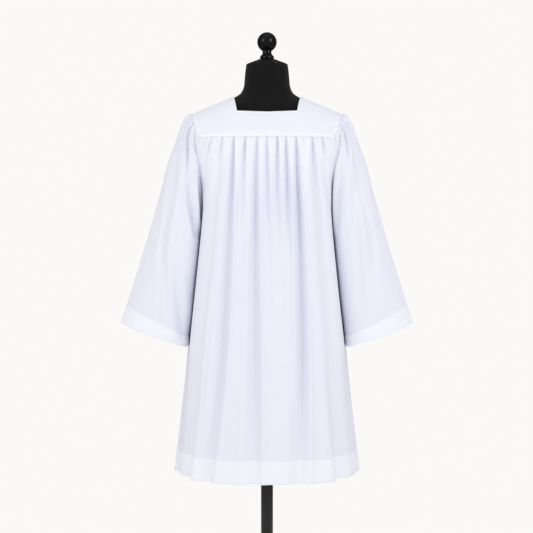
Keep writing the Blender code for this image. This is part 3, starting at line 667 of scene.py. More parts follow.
def panel_cut(yoke, across, length):
    """The UV map of a panel in metres of cut cloth, where it lies double, and its painted light.
    """
    height = yoke.seam_z - SEAM_GAP - HEM_Z
    half_cut = hanging_half(yoke, HEM_Z) * CUT_FULLNESS
    cut_u = np.broadcast_to(across * half_cut, (len(length), len(across)))
    cut_v = np.broadcast_to(-length[:, None], cut_u.shape)
    double = lies_double(length - (height - HEM_DEPTH))
    gathered = np.clip((1 - np.abs(across)) / PAINTED_LIGHT_EDGE, 0, 1)
    # painted light: whiter just under the yoke, fading down and towards the sides, lifts the
    # gathers' shade
    painted_light = GATHERS_PAINTED_LIGHT * bell(length, PAINTED_LIGHT_REACH)[:, None] * gathered
    from_edge = (1 - np.abs(across))[None, :] * half_cut
    at_seam = np.clip(1 - from_edge / SEAM_ALLOWANCE, 0, 1) * SEAM_LAYERS
    return cut_u, cut_v, np.maximum(np.maximum(double[:, None], painted_light), at_seam)


def side_flange(grid, cut_u, cut_v, layers_and_painted_light, yoke):
    """Adds a narrow turned-in edge along both sides of a panel."""
    normal = grid_normals(grid, flip=yoke.side > 0)
    left = grid[:, 0] - normal[:, 1] * FLANGE
    right = grid[:, -1] - normal[:, -2] * FLANGE
    grid = np.concatenate([left[:, None], grid, right[:, None]], axis=1)
    sides = [(cut_u, FLANGE), (cut_v, 0.0), (layers_and_painted_light, 0.0)]
    wider = [np.concatenate([f[:, :1] - by, f, f[:, -1:] + by], axis=1) for f, by in sides]
    return grid, *wider


def make_panel(name, yoke, folds, gathers):
    across, length, grid = panel_grid(yoke, folds, gathers)
    fields = side_flange(grid, *panel_cut(yoke, across, length), yoke)
    panel = cloth_piece(name, *fields, flip=yoke.side > 0)
    return panel, fields[0]


back_panel, back_grid = make_panel("back_panel_cloth", BACK, BACK_FOLDS, BACK_GATHERS)
front_panel, front_grid = make_panel("front_panel_cloth", FRONT, FRONT_FOLDS, FRONT_GATHERS)
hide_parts("back_panel")
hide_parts("front_panel")

# %% [markdown]
# ## The yokes
#
# A yoke is the smooth piece over the shoulders. Its neckline is cut square, its lower edge is
# turned up and topstitched, and the gathers below push that edge in and out a little. The grid
# follows the shoulders from their seam down to the yoke seam, with lines exactly along the
# neckline, so the opening can be left out cell by cell.

# %% Where a yoke's points lie
WELT_HEIGHT = 0.008
NEAR = 0.004  # columns this close beside the neckline, as a share of the half width
COLUMN_STEP, TURN_STEP, TURN_NEAR = 0.0135, 0.03, 0.012
SEWN_PAST = 0.006  # the turn from the top of the welt down to its topstitching


def turned_share(turn):
    """Height above the yoke seam, as a share of the height at the shoulder, after this turn."""
    return (np.cos(turn) - math.cos(YOKE_TURN)) / (1 - math.cos(YOKE_TURN))


def yoke_point(yoke, across, turn):
    """A point of a yoke: turn goes from 0 at the shoulder seam to YOKE_TURN at the yoke seam."""
    share = turned_share(turn)
    seam_x = level(yoke.seam_z, "edge_x")
    edge_x = seam_x + (SHOULDER_X - seam_x) * share
    outward = np.clip((np.abs(across) - NECK_SHARE) / (1 - NECK_SHARE), 0, 1)
    inward = np.clip(1 - np.abs(across) / NECK_SHARE, 0, 1)
    crest = NECK_Z + (SHOULDER_Z - NECK_Z) * outward**0.97 - NECK_DIP * inward**0.6
    seam_y = level_curve(yoke, yoke.seam_z, across)[1]
    x = across * edge_x
    y = seam_y * np.sin(turn) / math.sin(YOKE_TURN)
    z = yoke.seam_z + (crest - yoke.seam_z) * share
    return np.stack([x, y, z], axis=-1)


def fine_lines(marks, step):
    """Places from the first mark to the last, through every mark, about a step apart."""
    parts = []
    for start, end in zip(marks, marks[1:]):
        count = max(1, round((end - start) / step))
        parts.append(np.linspace(start, end, count, endpoint=False))
    return np.concatenate(parts + [[marks[-1]]])


def neck_share_at(yoke, turn):
    """Half the neckline's width as a share: its sides lean in towards its lower edge."""
    down = min(turn / yoke.neck_turn, 1.0)
    return NECK_SHARE + (NECK_LOW_SHARE - NECK_SHARE) * down


def yoke_radius(yoke):
    """How deep the yoke is at its seam, which turns an angle into a length of cloth."""
    return float(level(yoke.seam_z, "back" if yoke.side < 0 else "front"))


def yoke_grid(yoke):
    """Its columns across, its rows' turns, where the welt starts, and the plain grid."""
    welt_turn = YOKE_TURN - WELT_HEIGHT / yoke_radius(yoke)
    beside_neck = [-NECK_SHARE - NEAR, -NECK_SHARE, NECK_SHARE, NECK_SHARE + NEAR]
    across = fine_lines([-1, -1 + NEAR * 4, *beside_neck, 1 - NEAR * 4, 1], COLUMN_STEP)
    marks = [0, yoke.neck_turn, yoke.neck_turn + TURN_NEAR, welt_turn - TURN_NEAR, welt_turn]
    turns = fine_lines([*marks, YOKE_TURN - 0.01, YOKE_TURN], TURN_STEP)
    on_welt = np.linspace(welt_turn, YOKE_TURN, 7)
    turns = np.unique(np.concatenate([turns, on_welt, [welt_turn - TURN_NEAR / 2]]))
    rows = []
    for turn in turns:
        share = neck_share_at(yoke, turn)
        place = np.interp(across, [-1, -NECK_SHARE, NECK_SHARE, 1], [-1, -share, share, 1])
        rows.append(yoke_point(yoke, place, turn))
    return across, turns, welt_turn, np.array(rows)


print("the back yoke is", round(YOKE_TURN * yoke_radius(BACK), 3), "m from shoulder to seam")

# %% Seams, laps and drags of a yoke
WELT_STANDS = 0.0008  # how far the turned-up lower edge stands out
WELT_DIP, WELT_DIP_UP, WELT_DIP_WIDE = 0.3, 0.001, 0.0012  # and how it dips near that edge
PUSH, PUSH_REACH = 0.05, 0.010  # how much of the gathers shows through, how far up
DRAG, DRAG_PITCH, DRAG_REACH = 0.00045, 0.030, 0.22  # faint slanting drags near the armholes
DRAG_SLANT = (0.19, 0.9)  # of their way, across and down
SLACK, SLACK_PLACE = 0.00035, 0.03  # the faint unevenness above the welt
SLACK_WAVES, SLACK_START = 31, 1.3
LAP, LAP_REACH, LAP_STEP = 0.0009, 0.0066, 0.0016  # over the sleeve's seam
NECK_ROLL, NECK_ROLL_REACH = 0.0007, 0.0009  # how the neckline turns in
NECK_SEWING, NECK_SEWN_AT, NECK_SEWING_WIDE = 0.0003, 0.006, 0.0012  # and its pressed line
SHOULDER_SEAM_WIDE = 0.0025


def from_neckline(yoke, across, down, radius):
    """How far each point lies from the neckline's sides and its lower edge."""
    beside = np.abs(across)[None, :]
    neck_down = yoke.neck_turn * radius
    side = np.where(down <= neck_down, np.abs(beside - NECK_SHARE) * SHOULDER_X, 1.0)
    low = np.where(beside <= NECK_SHARE, np.abs(down - neck_down), 1.0)
    return np.minimum(side, low)


def yoke_lap(at_end):
    """The step where a yoke lies over the seam of its sleeve."""
    return np.clip((LAP_REACH - at_end) / LAP_STEP, 0, 1)


def yoke_relief(across, down, below, on_welt, pucker, half, from_neck):
    """How far each point of a yoke stands out of the plain shape."""
    out = WELT_STANDS * on_welt * (1 - WELT_DIP * bell(below - WELT_DIP_UP, WELT_DIP_WIDE))
    out = out + pucker[None, :] * PUSH * np.exp(-below / PUSH_REACH)
    slack = np.sin(across * SLACK_WAVES + SLACK_START)[None, :]
    out = out + SLACK * slack * bell(below - SLACK_PLACE, SLACK_PLACE)
    ends = bell(1 - np.abs(across), DRAG_REACH)[None, :]
    way = np.abs(across)[None, :] * DRAG_SLANT[0] + down * DRAG_SLANT[1]
    drag = np.sin(way * 2 * math.pi / DRAG_PITCH)
    out = out + DRAG * drag * ends * np.clip(below / 0.02, 0, 1) * np.clip(down / 0.03, 0, 1)
    out = out + LAP * ease(yoke_lap((1 - np.abs(across))[None, :] * half))
    out = out - NECK_ROLL * bell(from_neck, NECK_ROLL_REACH)
    pressed = bell(from_neck - NECK_SEWN_AT, NECK_SEWING_WIDE)
    return out - NECK_SEWING * (pressed + bell(down, SHOULDER_SEAM_WIDE))


print("a yoke laps", LAP_REACH * 1000, "mm over the seam of its sleeve")


# %% Make the yokes
YOKE_LAYERS = 0.45  # how near to double the whole yoke looks
YOKE_THICK = 2.2  # of its wall, against that of the panels
YOKE_EDGE = 0.0028  # how far its ends turn in
EDGE_DROP, EDGE_WAVES, EDGE_OUT = 0.0010, 0.05, 0.0004  # how its lower edge lies on the gathers
LIP = (0.0016, 0.0006)  # how far that edge turns in and back up
END_OUT = 0.0004  # how far its ends reach over the armholes
PUCKER_BELOW, PUCKER_SHARE = 0.010, 0.6  # where the gathers push it, and how much
NECK_DOUBLE = 0.003  # the width of its double edge at the neck


def make_yoke(name, yoke, gathers):
    across, turns, welt_turn, grid = yoke_grid(yoke)
    radius = yoke_radius(yoke)
    normal = grid_normals(grid, flip=yoke.side > 0)
    half = hanging_half(yoke, yoke.seam_z)
    down = (turns * radius)[:, None]
    seam_down = YOKE_TURN * radius
    on_welt = np.clip((turns - welt_turn) / TURN_NEAR + 1, 0, 1)[:, None]
    pucker = gather_relief(gathers, across, PUCKER_BELOW, half) * PUCKER_SHARE
    from_neck = from_neckline(yoke, across, down, radius)
    out = yoke_relief(across, down, seam_down - down, on_welt, pucker, half, from_neck)
    grid = grid + normal * out[:, :, None]
    grid[-1, :, 2] -= EDGE_DROP + EDGE_WAVES * (pucker - pucker.mean())
    grid[-1] += normal[-1] * EDGE_OUT
    lip = grid[-1] - normal[-1] * LIP[0] + np.array([0, 0, LIP[1]])
    flange = grid[0] + np.array([0, 0.0003 * yoke.side, -FLANGE])
    full = np.concatenate([flange[None], grid, lip[None]])
    length = np.concatenate([[-FLANGE], turns * radius, [seam_down + 0.001]])
    cut_u = np.broadcast_to(across * half, full.shape[:2])
    cut_v = np.broadcast_to(-length[:, None], full.shape[:2])
    layers_and_painted_light = np.full(full.shape[:2], YOKE_LAYERS)
    at_neck = np.clip(1.5 - from_neck / NECK_DOUBLE, 0, 1)
    layers_and_painted_light[1:-1] = np.maximum(layers_and_painted_light[1:-1], np.maximum(on_welt, at_neck))
    layers_and_painted_light[-1] = 1
    layers_and_painted_light = np.maximum(layers_and_painted_light, yoke_lap((1 - np.abs(across))[None, :] * half))
    mid_turn = np.concatenate([[-1.0], (turns[1:] + turns[:-1]) / 2, [9.0]])
    mid_across = np.concatenate([[1], np.abs(across[1:] + across[:-1]) / 2, [1]])
    opening = (mid_turn < yoke.neck_turn)[:, None] & (mid_across < NECK_SHARE)[None, :]
    into = np.concatenate([normal[:1], normal, normal[-1:]]) * YOKE_EDGE
    outside = np.array([END_OUT, 0, 0])
    left, right = full[:, 0] - into[:, 1] - outside, full[:, -1] - into[:, -2] + outside
    full = np.concatenate([left[:, None], full, right[:, None]], axis=1)
    fields = (np.pad(field, ((0, 0), (1, 1)), mode="edge") for field in (cut_u, cut_v, layers_and_painted_light))
    where = {"keep": ~opening, "flip": yoke.side > 0, "thick": YOKE_THICK}
    return cloth_piece(name, full, *fields, **where), grid, turns


back_yoke, *back_yoke_rows = make_yoke("back_yoke_cloth", BACK, BACK_GATHERS)
front_yoke, *front_yoke_rows = make_yoke("front_yoke_cloth", FRONT, FRONT_GATHERS)
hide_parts("back_yoke")
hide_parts("front_yoke")

# %% [markdown]
# ## The sleeves
#
# A sleeve is a wide tube. Its sections run from the armhole to the cuff, each round on the outer
# side and flatter where it lies along the body. The head of the sleeve is gathered into the
# armhole. Its gathers leave the seam outward, hook over and then hang straight down, so each one
# is drawn as a line of points on the upright plane of the body, seen from behind: how far from
# the middle, how high, how deep and half how wide. The side that faces forward takes the lines
# of the other sleeve.

# %% Tables of the sleeve
Section = namedtuple("Section", "along over_x over_z under_z depth droop")
SLEEVE = [
    Section(0.00, 0.2030, 1.4000, 1.1440, 0.1000, 0.000),
    Section(0.03, 0.2110, 1.3975, 1.1320, 0.1010, 0.000),
    Section(0.07, 0.2225, 1.3860, 1.1170, 0.1020, 0.000),
    Section(0.13, 0.2355, 1.3590, 1.0960, 0.1030, 0.001),
    Section(0.21, 0.2490, 1.3180, 1.0680, 0.1040, 0.001),
    Section(0.32, 0.2655, 1.2635, 1.0320, 0.1040, 0.002),
    Section(0.44, 0.2850, 1.1950, 0.9870, 0.1035, 0.003),
    Section(0.56, 0.3055, 1.1230, 0.9420, 0.1030, 0.003),
    Section(0.68, 0.3280, 1.0460, 0.8975, 0.1020, 0.004),
    Section(0.80, 0.3525, 0.9660, 0.8520, 0.1010, 0.004),
    Section(0.92, 0.3765, 0.8895, 0.8075, 0.1000, 0.003),
    Section(1.00, 0.3925, 0.8415, 0.7790, 0.0985, 0.002),
]
FLAT_SIDE = 6.0  # how squarely the side against the body lies
TAPER = 0.10  # how much narrower a section is underneath

# x, z, depth and half width of each fold, all in millimetres
BACK_OF_LEFT = [
    [
        (202, 1390, 2.5, 3.5), (211, 1379, 4, 4), (222, 1364, 5, 4.5), (228, 1345, 5, 5.5),
        (233, 1324, 6, 7), (239, 1298, 7, 11), (245, 1269, 9, 16), (248, 1237, 9.5, 18),
        (251, 1203, 8, 18), (254, 1164, 7, 15), (259, 1125, 6, 13), (266, 1080, 6, 12),
        (272, 1028, 7, 15), (271, 968, 5, 16), (267, 902, 4, 18), (265, 824, 2, 20),
    ],
    [
        (197, 1383, 3.5, 3), (206, 1374, 7, 3.5), (213, 1361, 7.5, 4), (218, 1345, 6, 5),
        (223, 1327, 5, 6), (225, 1303, 2.5, 7), (228, 1274, 0, 8),
    ],
    [
        (191, 1370, 5, 3.5), (199, 1360, 8.5, 4.5), (205, 1347, 12, 5.5), (208, 1332, 13, 6),
        (210, 1313, 12, 6), (209, 1290, 9.5, 6.5), (209, 1264, 6, 7), (209, 1232, 3.5, 8),
        (207, 1206, 4, 9), (203, 1177, 7, 10), (199, 1148, 9, 11), (194, 1120, 9.5, 11),
        (187, 1088, 7, 11), (182, 1059, 0, 11),
    ],
    [
        (190, 1353, 1.5, 3), (190, 1337, 5, 3.5), (189, 1316, 7, 4), (184, 1292, 8.5, 4.5),
        (178, 1266, 9.5, 5), (174, 1237, 7, 6), (171, 1201, 0, 7),
    ],
    [
        (204, 1396, 1.5, 3), (217, 1384, 3.5, 4), (230, 1366, 3.5, 5), (237, 1342, 4, 6),
        (244, 1316, 3.5, 8), (251, 1287, 0, 10),
    ],
    [
        (280, 1175, 0, 5), (290, 1135, 2.5, 5), (304, 1086, 3, 5), (320, 1033, 3.5, 5),
        (335, 981, 3, 5.5), (351, 928, 3, 6), (364, 887, 2, 6), (382, 824, 0, 6),
    ],
    [
        (238, 1002, 0, 12), (236, 968, 3, 15), (233, 923, 5, 18), (228, 876, 5, 20),
        (220, 811, 3, 20),
    ],
    [
        (194, 1296, 0, 6), (190, 1264, -3, 7), (188, 1232, -5, 7), (187, 1190, -6, 7),
        (186, 1156, -6, 7), (184, 1122, -4, 7), (182, 1088, -2, 7), (181, 1060, 0, 7),
    ],
]
BACK_OF_RIGHT = [
    [
        (192, 1364, 3.5, 3), (200, 1354, 8.5, 4), (204, 1343, 12, 5), (207, 1329, 12, 5.5),
        (210, 1316, 10, 6), (212, 1298, 7, 6.5), (214, 1274, 3.5, 8), (215, 1243, 0, 9),
    ],
    [
        (195, 1381, 3.5, 3), (205, 1372, 7, 3.5), (213, 1358, 7.5, 4), (218, 1341, 6, 5),
        (222, 1319, 3.5, 6), (224, 1290, 0, 8),
    ],
    [
        (206, 1386, 3.5, 3.5), (216, 1375, 6, 4.5), (225, 1357, 7, 5.5), (230, 1337, 7, 7),
        (235, 1311, 7, 11), (238, 1279, 8, 16), (243, 1243, 9, 20), (247, 1211, 8, 20),
        (251, 1175, 6, 18), (259, 1127, 4.5, 14), (270, 1083, 5.5, 14), (278, 1033, 5.5, 15),
        (278, 968, 3.5, 16), (279, 902, 2.5, 18), (283, 824, 1.5, 20),
    ],
    [
        (195, 1353, 1.5, 3), (192, 1334, 5, 3.5), (190, 1313, 7.5, 4), (185, 1290, 8.5, 4.5),
        (179, 1261, 8.5, 5), (173, 1235, 7, 6), (170, 1201, 0, 7),
    ],
    [
        (211, 1393, 1.5, 3), (223, 1382, 3.5, 4), (234, 1363, 3.5, 5), (241, 1340, 4, 6),
        (248, 1311, 3.5, 8), (254, 1279, 0, 10),
    ],
    [
        (215, 1258, 0, 10), (225, 1227, 4, 14), (229, 1190, 7, 20), (232, 1138, 7, 20),
        (234, 1086, 4.5, 16), (237, 1033, 4, 12), (241, 981, 3, 12), (240, 928, 2, 13),
        (238, 876, 0, 15),
    ],
    [
        (280, 1169, 0, 5), (292, 1130, 2.5, 5), (305, 1083, 3, 5), (320, 1033, 3.5, 5),
        (335, 981, 3, 5.5), (351, 928, 3, 6), (364, 887, 2, 6), (382, 824, 0, 6),
    ],
    [
        (191, 1296, 0, 6), (187, 1264, -3, 7), (184, 1232, -5, 7), (181, 1198, -6, 7),
        (180, 1164, -6, 7), (179, 1128, -4, 7), (179, 1092, -2, 7), (180, 1060, 0, 7),
    ],
]
print(len(BACK_OF_LEFT), "folds on one side of a sleeve and", len(BACK_OF_RIGHT), "on the other")


# %% Plain sections of a sleeve
def armhole(turn):
    """The armhole on the +X side at a turn from the shoulder, positive to the back."""
    middle_z = (SHOULDER_Z + UNDERARM_Z) / 2
    z = middle_z + (SHOULDER_Z - UNDERARM_Z) / 2 * np.cos(turn)
    x, y = np.empty_like(turn), np.empty_like(turn)
    for yoke, here in ((BACK, np.sin(turn) >= 0), (FRONT, np.sin(turn) < 0)):
        on_yoke = here & (z >= yoke.seam_z)
        share = (z[on_yoke] - yoke.seam_z) / (SHOULDER_Z - yoke.seam_z)
        cosine = math.cos(YOKE_TURN) + share * (1 - math.cos(YOKE_TURN))
        seam_x, seam_y = level(yoke.seam_z, "edge_x"), level(yoke.seam_z, "edge_y")
        sine = np.sqrt(np.maximum(1 - cosine**2, 0))
        x[on_yoke] = seam_x + (SHOULDER_X - seam_x) * share
        y[on_yoke] = yoke.side * seam_y * sine / math.sin(YOKE_TURN)
        on_panel = here & ~on_yoke
        x[on_panel] = level(z[on_panel], "edge_x")
        y[on_panel] = yoke.side * np.maximum(level(z[on_panel], "edge_y"), 0)
    return np.stack([x + ARMHOLE_GAP, y, z], axis=-1)


FITTED_SHARE = 0.34


def plain_section(turn, along):
    """A sleeve section with no folds, before it is fitted to the armhole."""
    over_x, over_z, under_z, depth, droop = (
        smooth_through(column(SLEEVE, "along"), column(SLEEVE, name), along)
        for name in Section._fields[1:]
    )
    over = np.array([over_x, 0, over_z])
    under = np.array([level(under_z, "edge_x") + BESIDE, 0, under_z])
    power = np.where(np.cos(turn) < 0, FLAT_SIDE, 2.0)
    reach = (np.abs(np.cos(turn)) ** power + np.abs(np.sin(turn)) ** power) ** (-1 / power)
    toward = np.cos(turn) * reach
    aside = np.sin(turn) * reach
    points = (over + under) / 2 + np.outer(toward, (over - under) / 2)
    points[:, 1] -= aside * depth * (1 - TAPER * np.maximum(-toward, 0) ** 1.5)
    points[:, 2] -= aside**2 * droop
    return points


def sleeve_section(turn, along):
    """A sleeve section that starts on the armhole and takes its own shape further down."""
    fitted = max(0.0, 1 - along / FITTED_SHARE) ** 2
    return plain_section(turn, along) + fitted * (armhole(turn) - plain_section(turn, 0.0))


seat = armhole(np.radians(np.arange(0.0, 361.0)))
seat = float(np.linalg.norm(np.diff(seat, axis=0), axis=1).sum())
print("round the armhole:", round(seat, 3), "m")

# %% The folds of a sleeve
MM = 0.001
DEEPER_LEFT, DEEPER_RIGHT = 1.5, 1.35  # than the tables say, once the cloth is lit
NARROWER = 0.9
SHOWN_FROM, SHOWN_TO, SHOWN_FADE = 9, 174, 16  # degrees round the sleeve that a side's folds reach


def drawn_fold(line, deeper):
    """A fold's points joined by a smooth curve."""
    marks = np.arange(len(line))
    at = np.linspace(0, len(line) - 1, 4 * len(line))
    x, z, depth, width = np.array(line, float).T * MM
    curve = [smooth_through(marks, values, at) for values in (x, z)]
    size = [np.interp(at, marks, depth * deeper), np.interp(at, marks, width * NARROWER)]
    return np.stack(curve + size, axis=1)


def line_relief(x, z, fold):
    """One fold: a valley, deepest on its line, with a low ridge on each side."""
    start, step = fold[:-1], np.diff(fold, axis=0)
    gone = (x[:, None] - start[:, 0]) * step[:, 0] + (z[:, None] - start[:, 1]) * step[:, 1]
    gone = np.clip(gone / (step[:, 0] ** 2 + step[:, 1] ** 2), 0, 1)
    near_x, near_z, depth, width = (start[:, i] + gone * step[:, i] for i in range(4))
    away = np.hypot(x[:, None] - near_x, z[:, None] - near_z)
    nearest = np.arange(len(x)), np.argmin(away, axis=1)
    return depth[nearest] * crease(away[nearest] / width[nearest], GATHER_RIDGE)


def sleeve_relief(turn, points, folds):
    """How far the folds move a sleeve's points out: folds holds the back's and the front's."""
    out = np.zeros_like(turn)
    degrees = np.degrees(turn)
    for side, lines in zip((1, -1), folds):
        past_top = np.clip(side * degrees / SHOWN_FROM, 0, 1)
        shown = past_top * np.clip((SHOWN_TO - side * degrees) / SHOWN_FADE, 0, 1)
        here = shown > 0
        for fold in lines:
            out[here] += shown[here] * line_relief(points[here, 0], points[here, 2], fold)
    return out


LEFT_FOLDS = [drawn_fold(line, DEEPER_LEFT) for line in BACK_OF_LEFT]
RIGHT_FOLDS = [drawn_fold(line, DEEPER_RIGHT) for line in BACK_OF_RIGHT]
deepest = max(fold[:, 2].max() for fold in LEFT_FOLDS)
print("the deepest gather at a sleeve's head goes in", round(deepest * 1000, 1), "mm")

# %% Rings of a sleeve
CUFF_SHARE = 1 - CUFF_DEPTH / SLEEVE_LENGTH
HEAD_REACH = 0.03  # share of the length along which the armhole holds the folds flat
HEAD_PUFF, HEAD_PUFF_START, HEAD_PUFF_REACH = 0.0026, 0.008, 0.06
SEAM_LAP, SEAM_LAP_REACH, SEAM_LAP_BACK = 0.0004, 0.004, 0.0012  # over the panel's edge


def on_panel(turn):
    """Nought where the sleeve is set into the yoke and one where it is set into the panel."""
    z = armhole(turn)[:, 2]
    seam_z = np.where(turn >= 0, BACK.seam_z, FRONT.seam_z)
    return np.clip((seam_z - 0.001 - z) / 0.004, 0, 1)


def sleeve_row(turn, along, folds):
    """A ring of a sleeve with its folds, and the directions out of it."""
    step = 1e-3
    here = sleeve_section(turn, along)
    round_it = sleeve_section(turn + step, along) - sleeve_section(turn - step, along)
    down = sleeve_section(turn, min(along + step, 1)) - sleeve_section(turn, max(along - step, 0))
    normal = np.cross(round_it, down)
    if along <= step:
        normal[:, 0] = 0
    normal /= np.linalg.norm(normal, axis=1)[:, None]
    held = SEAM_HOLD * on_panel(turn) * math.exp(-along / HEAD_REACH)
    out = sleeve_relief(turn, here, folds) * (1 - held)
    out += HEAD_PUFF * (1 - math.exp(-along / HEAD_PUFF_START)) * bell(along, HEAD_PUFF_REACH)
    out += hem_step((along - CUFF_SHARE) * SLEEVE_LENGTH)
    lap = on_panel(turn) * math.exp(-along / SEAM_LAP_REACH)
    out += SEAM_LAP * lap
    row = here + normal * out[:, None]
    row[:, 0] -= SEAM_LAP_BACK * lap
    return row, normal


def sleeve_alongs():
    """Where each ring of a sleeve lies, as a share of its length."""
    near = np.array([0, 0.002, 0.005, 0.009, 0.014, 0.020, 0.027, 0.035, 0.044, 0.054, 0.065])
    head = np.arange(0.073, 0.26, 0.008)
    long = np.linspace(0.265, CUFF_SHARE - 0.010, 45)
    band = CUFF_SHARE + np.array([-0.005, -0.0015, 0.0, 0.0025, 0.0065, 0.012])
    return np.concatenate([near, head, long, band, np.linspace(CUFF_SHARE + 0.022, 1, 6)])


print("a sleeve has", len(sleeve_alongs()), "rings, and its hem starts at", round(CUFF_SHARE, 3))

# %% Make the sleeves
HALF_SLEEVE_CUT = 0.30  # half the width that a sleeve is cut to
POINT_STEP = 1.6  # degrees from one point of a ring to the next
TUCK_LESS = 0.9  # how much less it is tucked in where it meets a panel
CUFF_TURNED_UP = (0.15, 0.96)  # from its fold to its top, the rows inside the hem
# how far the two rows of its seam allowance go in, towards the body, and up in the cloth
TUCKS = [(0.0035, 0.0030, 0.007), (0.0022, 0.0006, 0.003)]


def make_sleeve(name, mirror, folds):
    turn = np.radians(fine_lines([-180, -130, 130, 180], POINT_STEP)[:-1])
    alongs = sleeve_alongs()
    rows, normals = zip(*(sleeve_row(turn, a, folds) for a in alongs))
    body = np.array([-1.0, 0, 0])
    deep = (1 - TUCK_LESS * on_panel(turn))[:, None]
    tucks = [rows[0] - (normals[0] * under - body * aside) * deep for under, aside, _ in TUCKS]
    down = rows[-1] - rows[-2]
    down /= np.linalg.norm(down, axis=1)[:, None]
    turned_up = np.linspace(*CUFF_TURNED_UP, 5)
    inside = []
    for share in turned_up:
        row, normal = sleeve_row(turn, 1 - share * (1 - CUFF_SHARE), folds)
        inside.append(row - normal * (2 * BEND + LAYER_GAP))
    grid = np.array([*tucks, *rows, *hem_bend(rows[-1], normals[-1], down), *inside])
    extra = np.concatenate([BEND_LENGTHS, BEND_LENGTH + turned_up * CUFF_DEPTH])
    before = [-up for _, _, up in TUCKS]
    length = np.concatenate([before, alongs * SLEEVE_LENGTH, SLEEVE_LENGTH + extra])
    round_cut = np.append(turn, math.pi) / math.pi * HALF_SLEEVE_CUT
    cut_u = np.broadcast_to(round_cut, (len(length), len(turn) + 1))
    cut_v = np.broadcast_to(-length[:, None], cut_u.shape)
    double = lies_double(length - CUFF_SHARE * SLEEVE_LENGTH)
    layers_and_painted_light = np.broadcast_to(double[:, None], (len(length), len(turn))).copy()
    grid[:, :, 0] *= mirror
    obj = cloth_piece(name, grid, cut_u, cut_v, layers_and_painted_light, ring=True, flip=mirror > 0)
    return obj, grid


sleeve_left, left_grid = make_sleeve("sleeve_left_cloth", -1, (LEFT_FOLDS, RIGHT_FOLDS))
sleeve_right, right_grid = make_sleeve("sleeve_right_cloth", 1, (RIGHT_FOLDS, LEFT_FOLDS))
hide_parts("sleeve_left")
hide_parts("sleeve_right")

# %% [markdown]
# ## The padded form
#
# The form is a smooth limbless torso covered in black jersey. It shows at the neck and, from
# below, inside the skirt. We sweep the same level curves as the solid, four times as finely, and
# close both ends. Its cover is a fine knit, so its paint has small upright ribs and a soft sheen.

# %% Levels of the form
FormLevel = namedtuple("FormLevel", "z half_width back front")
FORM = [
    FormLevel(0.755, 0.150, 0.104, 0.104),
    FormLevel(0.762, 0.160, 0.113, 0.113),
    FormLevel(0.790, 0.168, 0.120, 0.116),
    FormLevel(0.840, 0.167, 0.121, 0.114),
    FormLevel(0.900, 0.153, 0.112, 0.107),
    FormLevel(0.970, 0.136, 0.097, 0.101),
    FormLevel(1.030, 0.131, 0.092, 0.100),
    FormLevel(1.100, 0.140, 0.098, 0.107),
    FormLevel(1.170, 0.151, 0.106, 0.119),
    FormLevel(1.230, 0.161, 0.110, 0.119),
    FormLevel(1.290, 0.171, 0.109, 0.111),
    FormLevel(1.340, 0.180, 0.105, 0.101),
    FormLevel(1.3700, 0.184, 0.0940, 0.0930),
    FormLevel(1.3915, 0.180, 0.0865, 0.0860),
    FormLevel(1.4039, 0.169, 0.0818, 0.0810),
    FormLevel(1.4200, 0.142, 0.0768, 0.0735),
    FormLevel(1.4340, 0.1083, 0.0685, 0.0660),
    FormLevel(1.4440, 0.0900, 0.0630, 0.0622),
    FormLevel(1.4500, 0.0790, 0.0618, 0.0615),
    FormLevel(1.4570, 0.0705, 0.0614, 0.0612),
    FormLevel(1.4680, 0.0645, 0.0612, 0.0612),
    FormLevel(1.4800, 0.0615, 0.0610, 0.0610),
    FormLevel(1.4980, 0.0602, 0.0602, 0.0602),
    FormLevel(1.5110, 0.0590, 0.0590, 0.0590),
    FormLevel(1.5230, 0.0575, 0.0575, 0.0575),
    FormLevel(1.5300, 0.0566, 0.0566, 0.0566),
]
FORM_SIDES = 128


print("the form's neck is", round(FORM[-1].half_width * 2000), "mm across")


# %% Make the form
KNIT = (700.0, 700.0, 1600.0)  # stitches to a metre, across and up


def make_jersey():
    shine = {"Sheen_Weight": 0.07, "Sheen_Roughness": 0.45, "Specular_IOR_Level": 0.22}
    box = PaintBox("black_jersey_cover", 0.9, **shine)
    clouds = box.noise(box.place((1, 1, 1)), 40.0, 3.0)
    knit = box.noise(box.place(KNIT), 1.0, 1.0)
    base = box.mix(clouds, (0.0055, 0.0055, 0.0058, 1.0), (0.0080, 0.0080, 0.0082, 1.0))
    box.feed("Base Color", base)
    box.feed("Roughness", 0.86 + knit * 0.10)
    box.bump(knit, 0.0002, 0.4)
    return box.material


def make_form():
    turn = np.linspace(0, 2 * math.pi, FORM_SIDES, endpoint=False)
    zs = column(FORM, "z")
    fine = np.unique(np.concatenate([zs, np.linspace(zs[0], zs[-1], 150)]))
    width, back, front = (np.interp(fine, zs, column(FORM, n)) for n in FormLevel._fields[1:])
    depth = np.where(np.cos(turn) > 0, back[:, None], front[:, None])
    x, y = width[:, None] * np.sin(turn), -depth * np.cos(turn)
    points = np.stack([x, y, np.broadcast_to(fine[:, None], x.shape)], axis=2)
    here = np.arange(FORM_SIDES)
    ring = np.stack([here, np.roll(here, -1)], axis=1)
    ring = np.concatenate([ring, ring[:, ::-1] + FORM_SIDES], axis=1)
    faces = [face for r in range(len(fine) - 1) for face in (ring + r * FORM_SIDES).tolist()]
    faces += [here[::-1].tolist(), (here + (len(fine) - 1) * FORM_SIDES).tolist()]
    mesh = bpy.data.meshes.new("form_cover")
    mesh.from_pydata(points.reshape(-1, 3).tolist(), [], faces)
    mesh.materials.append(make_jersey())
    mesh.shade_smooth()
    obj = add_object("form_cover", mesh)
    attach(obj, "root")
    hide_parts("form_torso")
    print("form_cover:", len(faces), "faces")


make_form()

# %% [markdown]
# ## The turned pieces
#
# The cap, the knob, the pole and the foot are all turned on a lathe, so each is a profile spun
# round the upright axis. The Screw modifier does that in Blender. The cap and the knob are
# lacquered, and the steel of the pole and the foot has a powder coat with a slight grain.

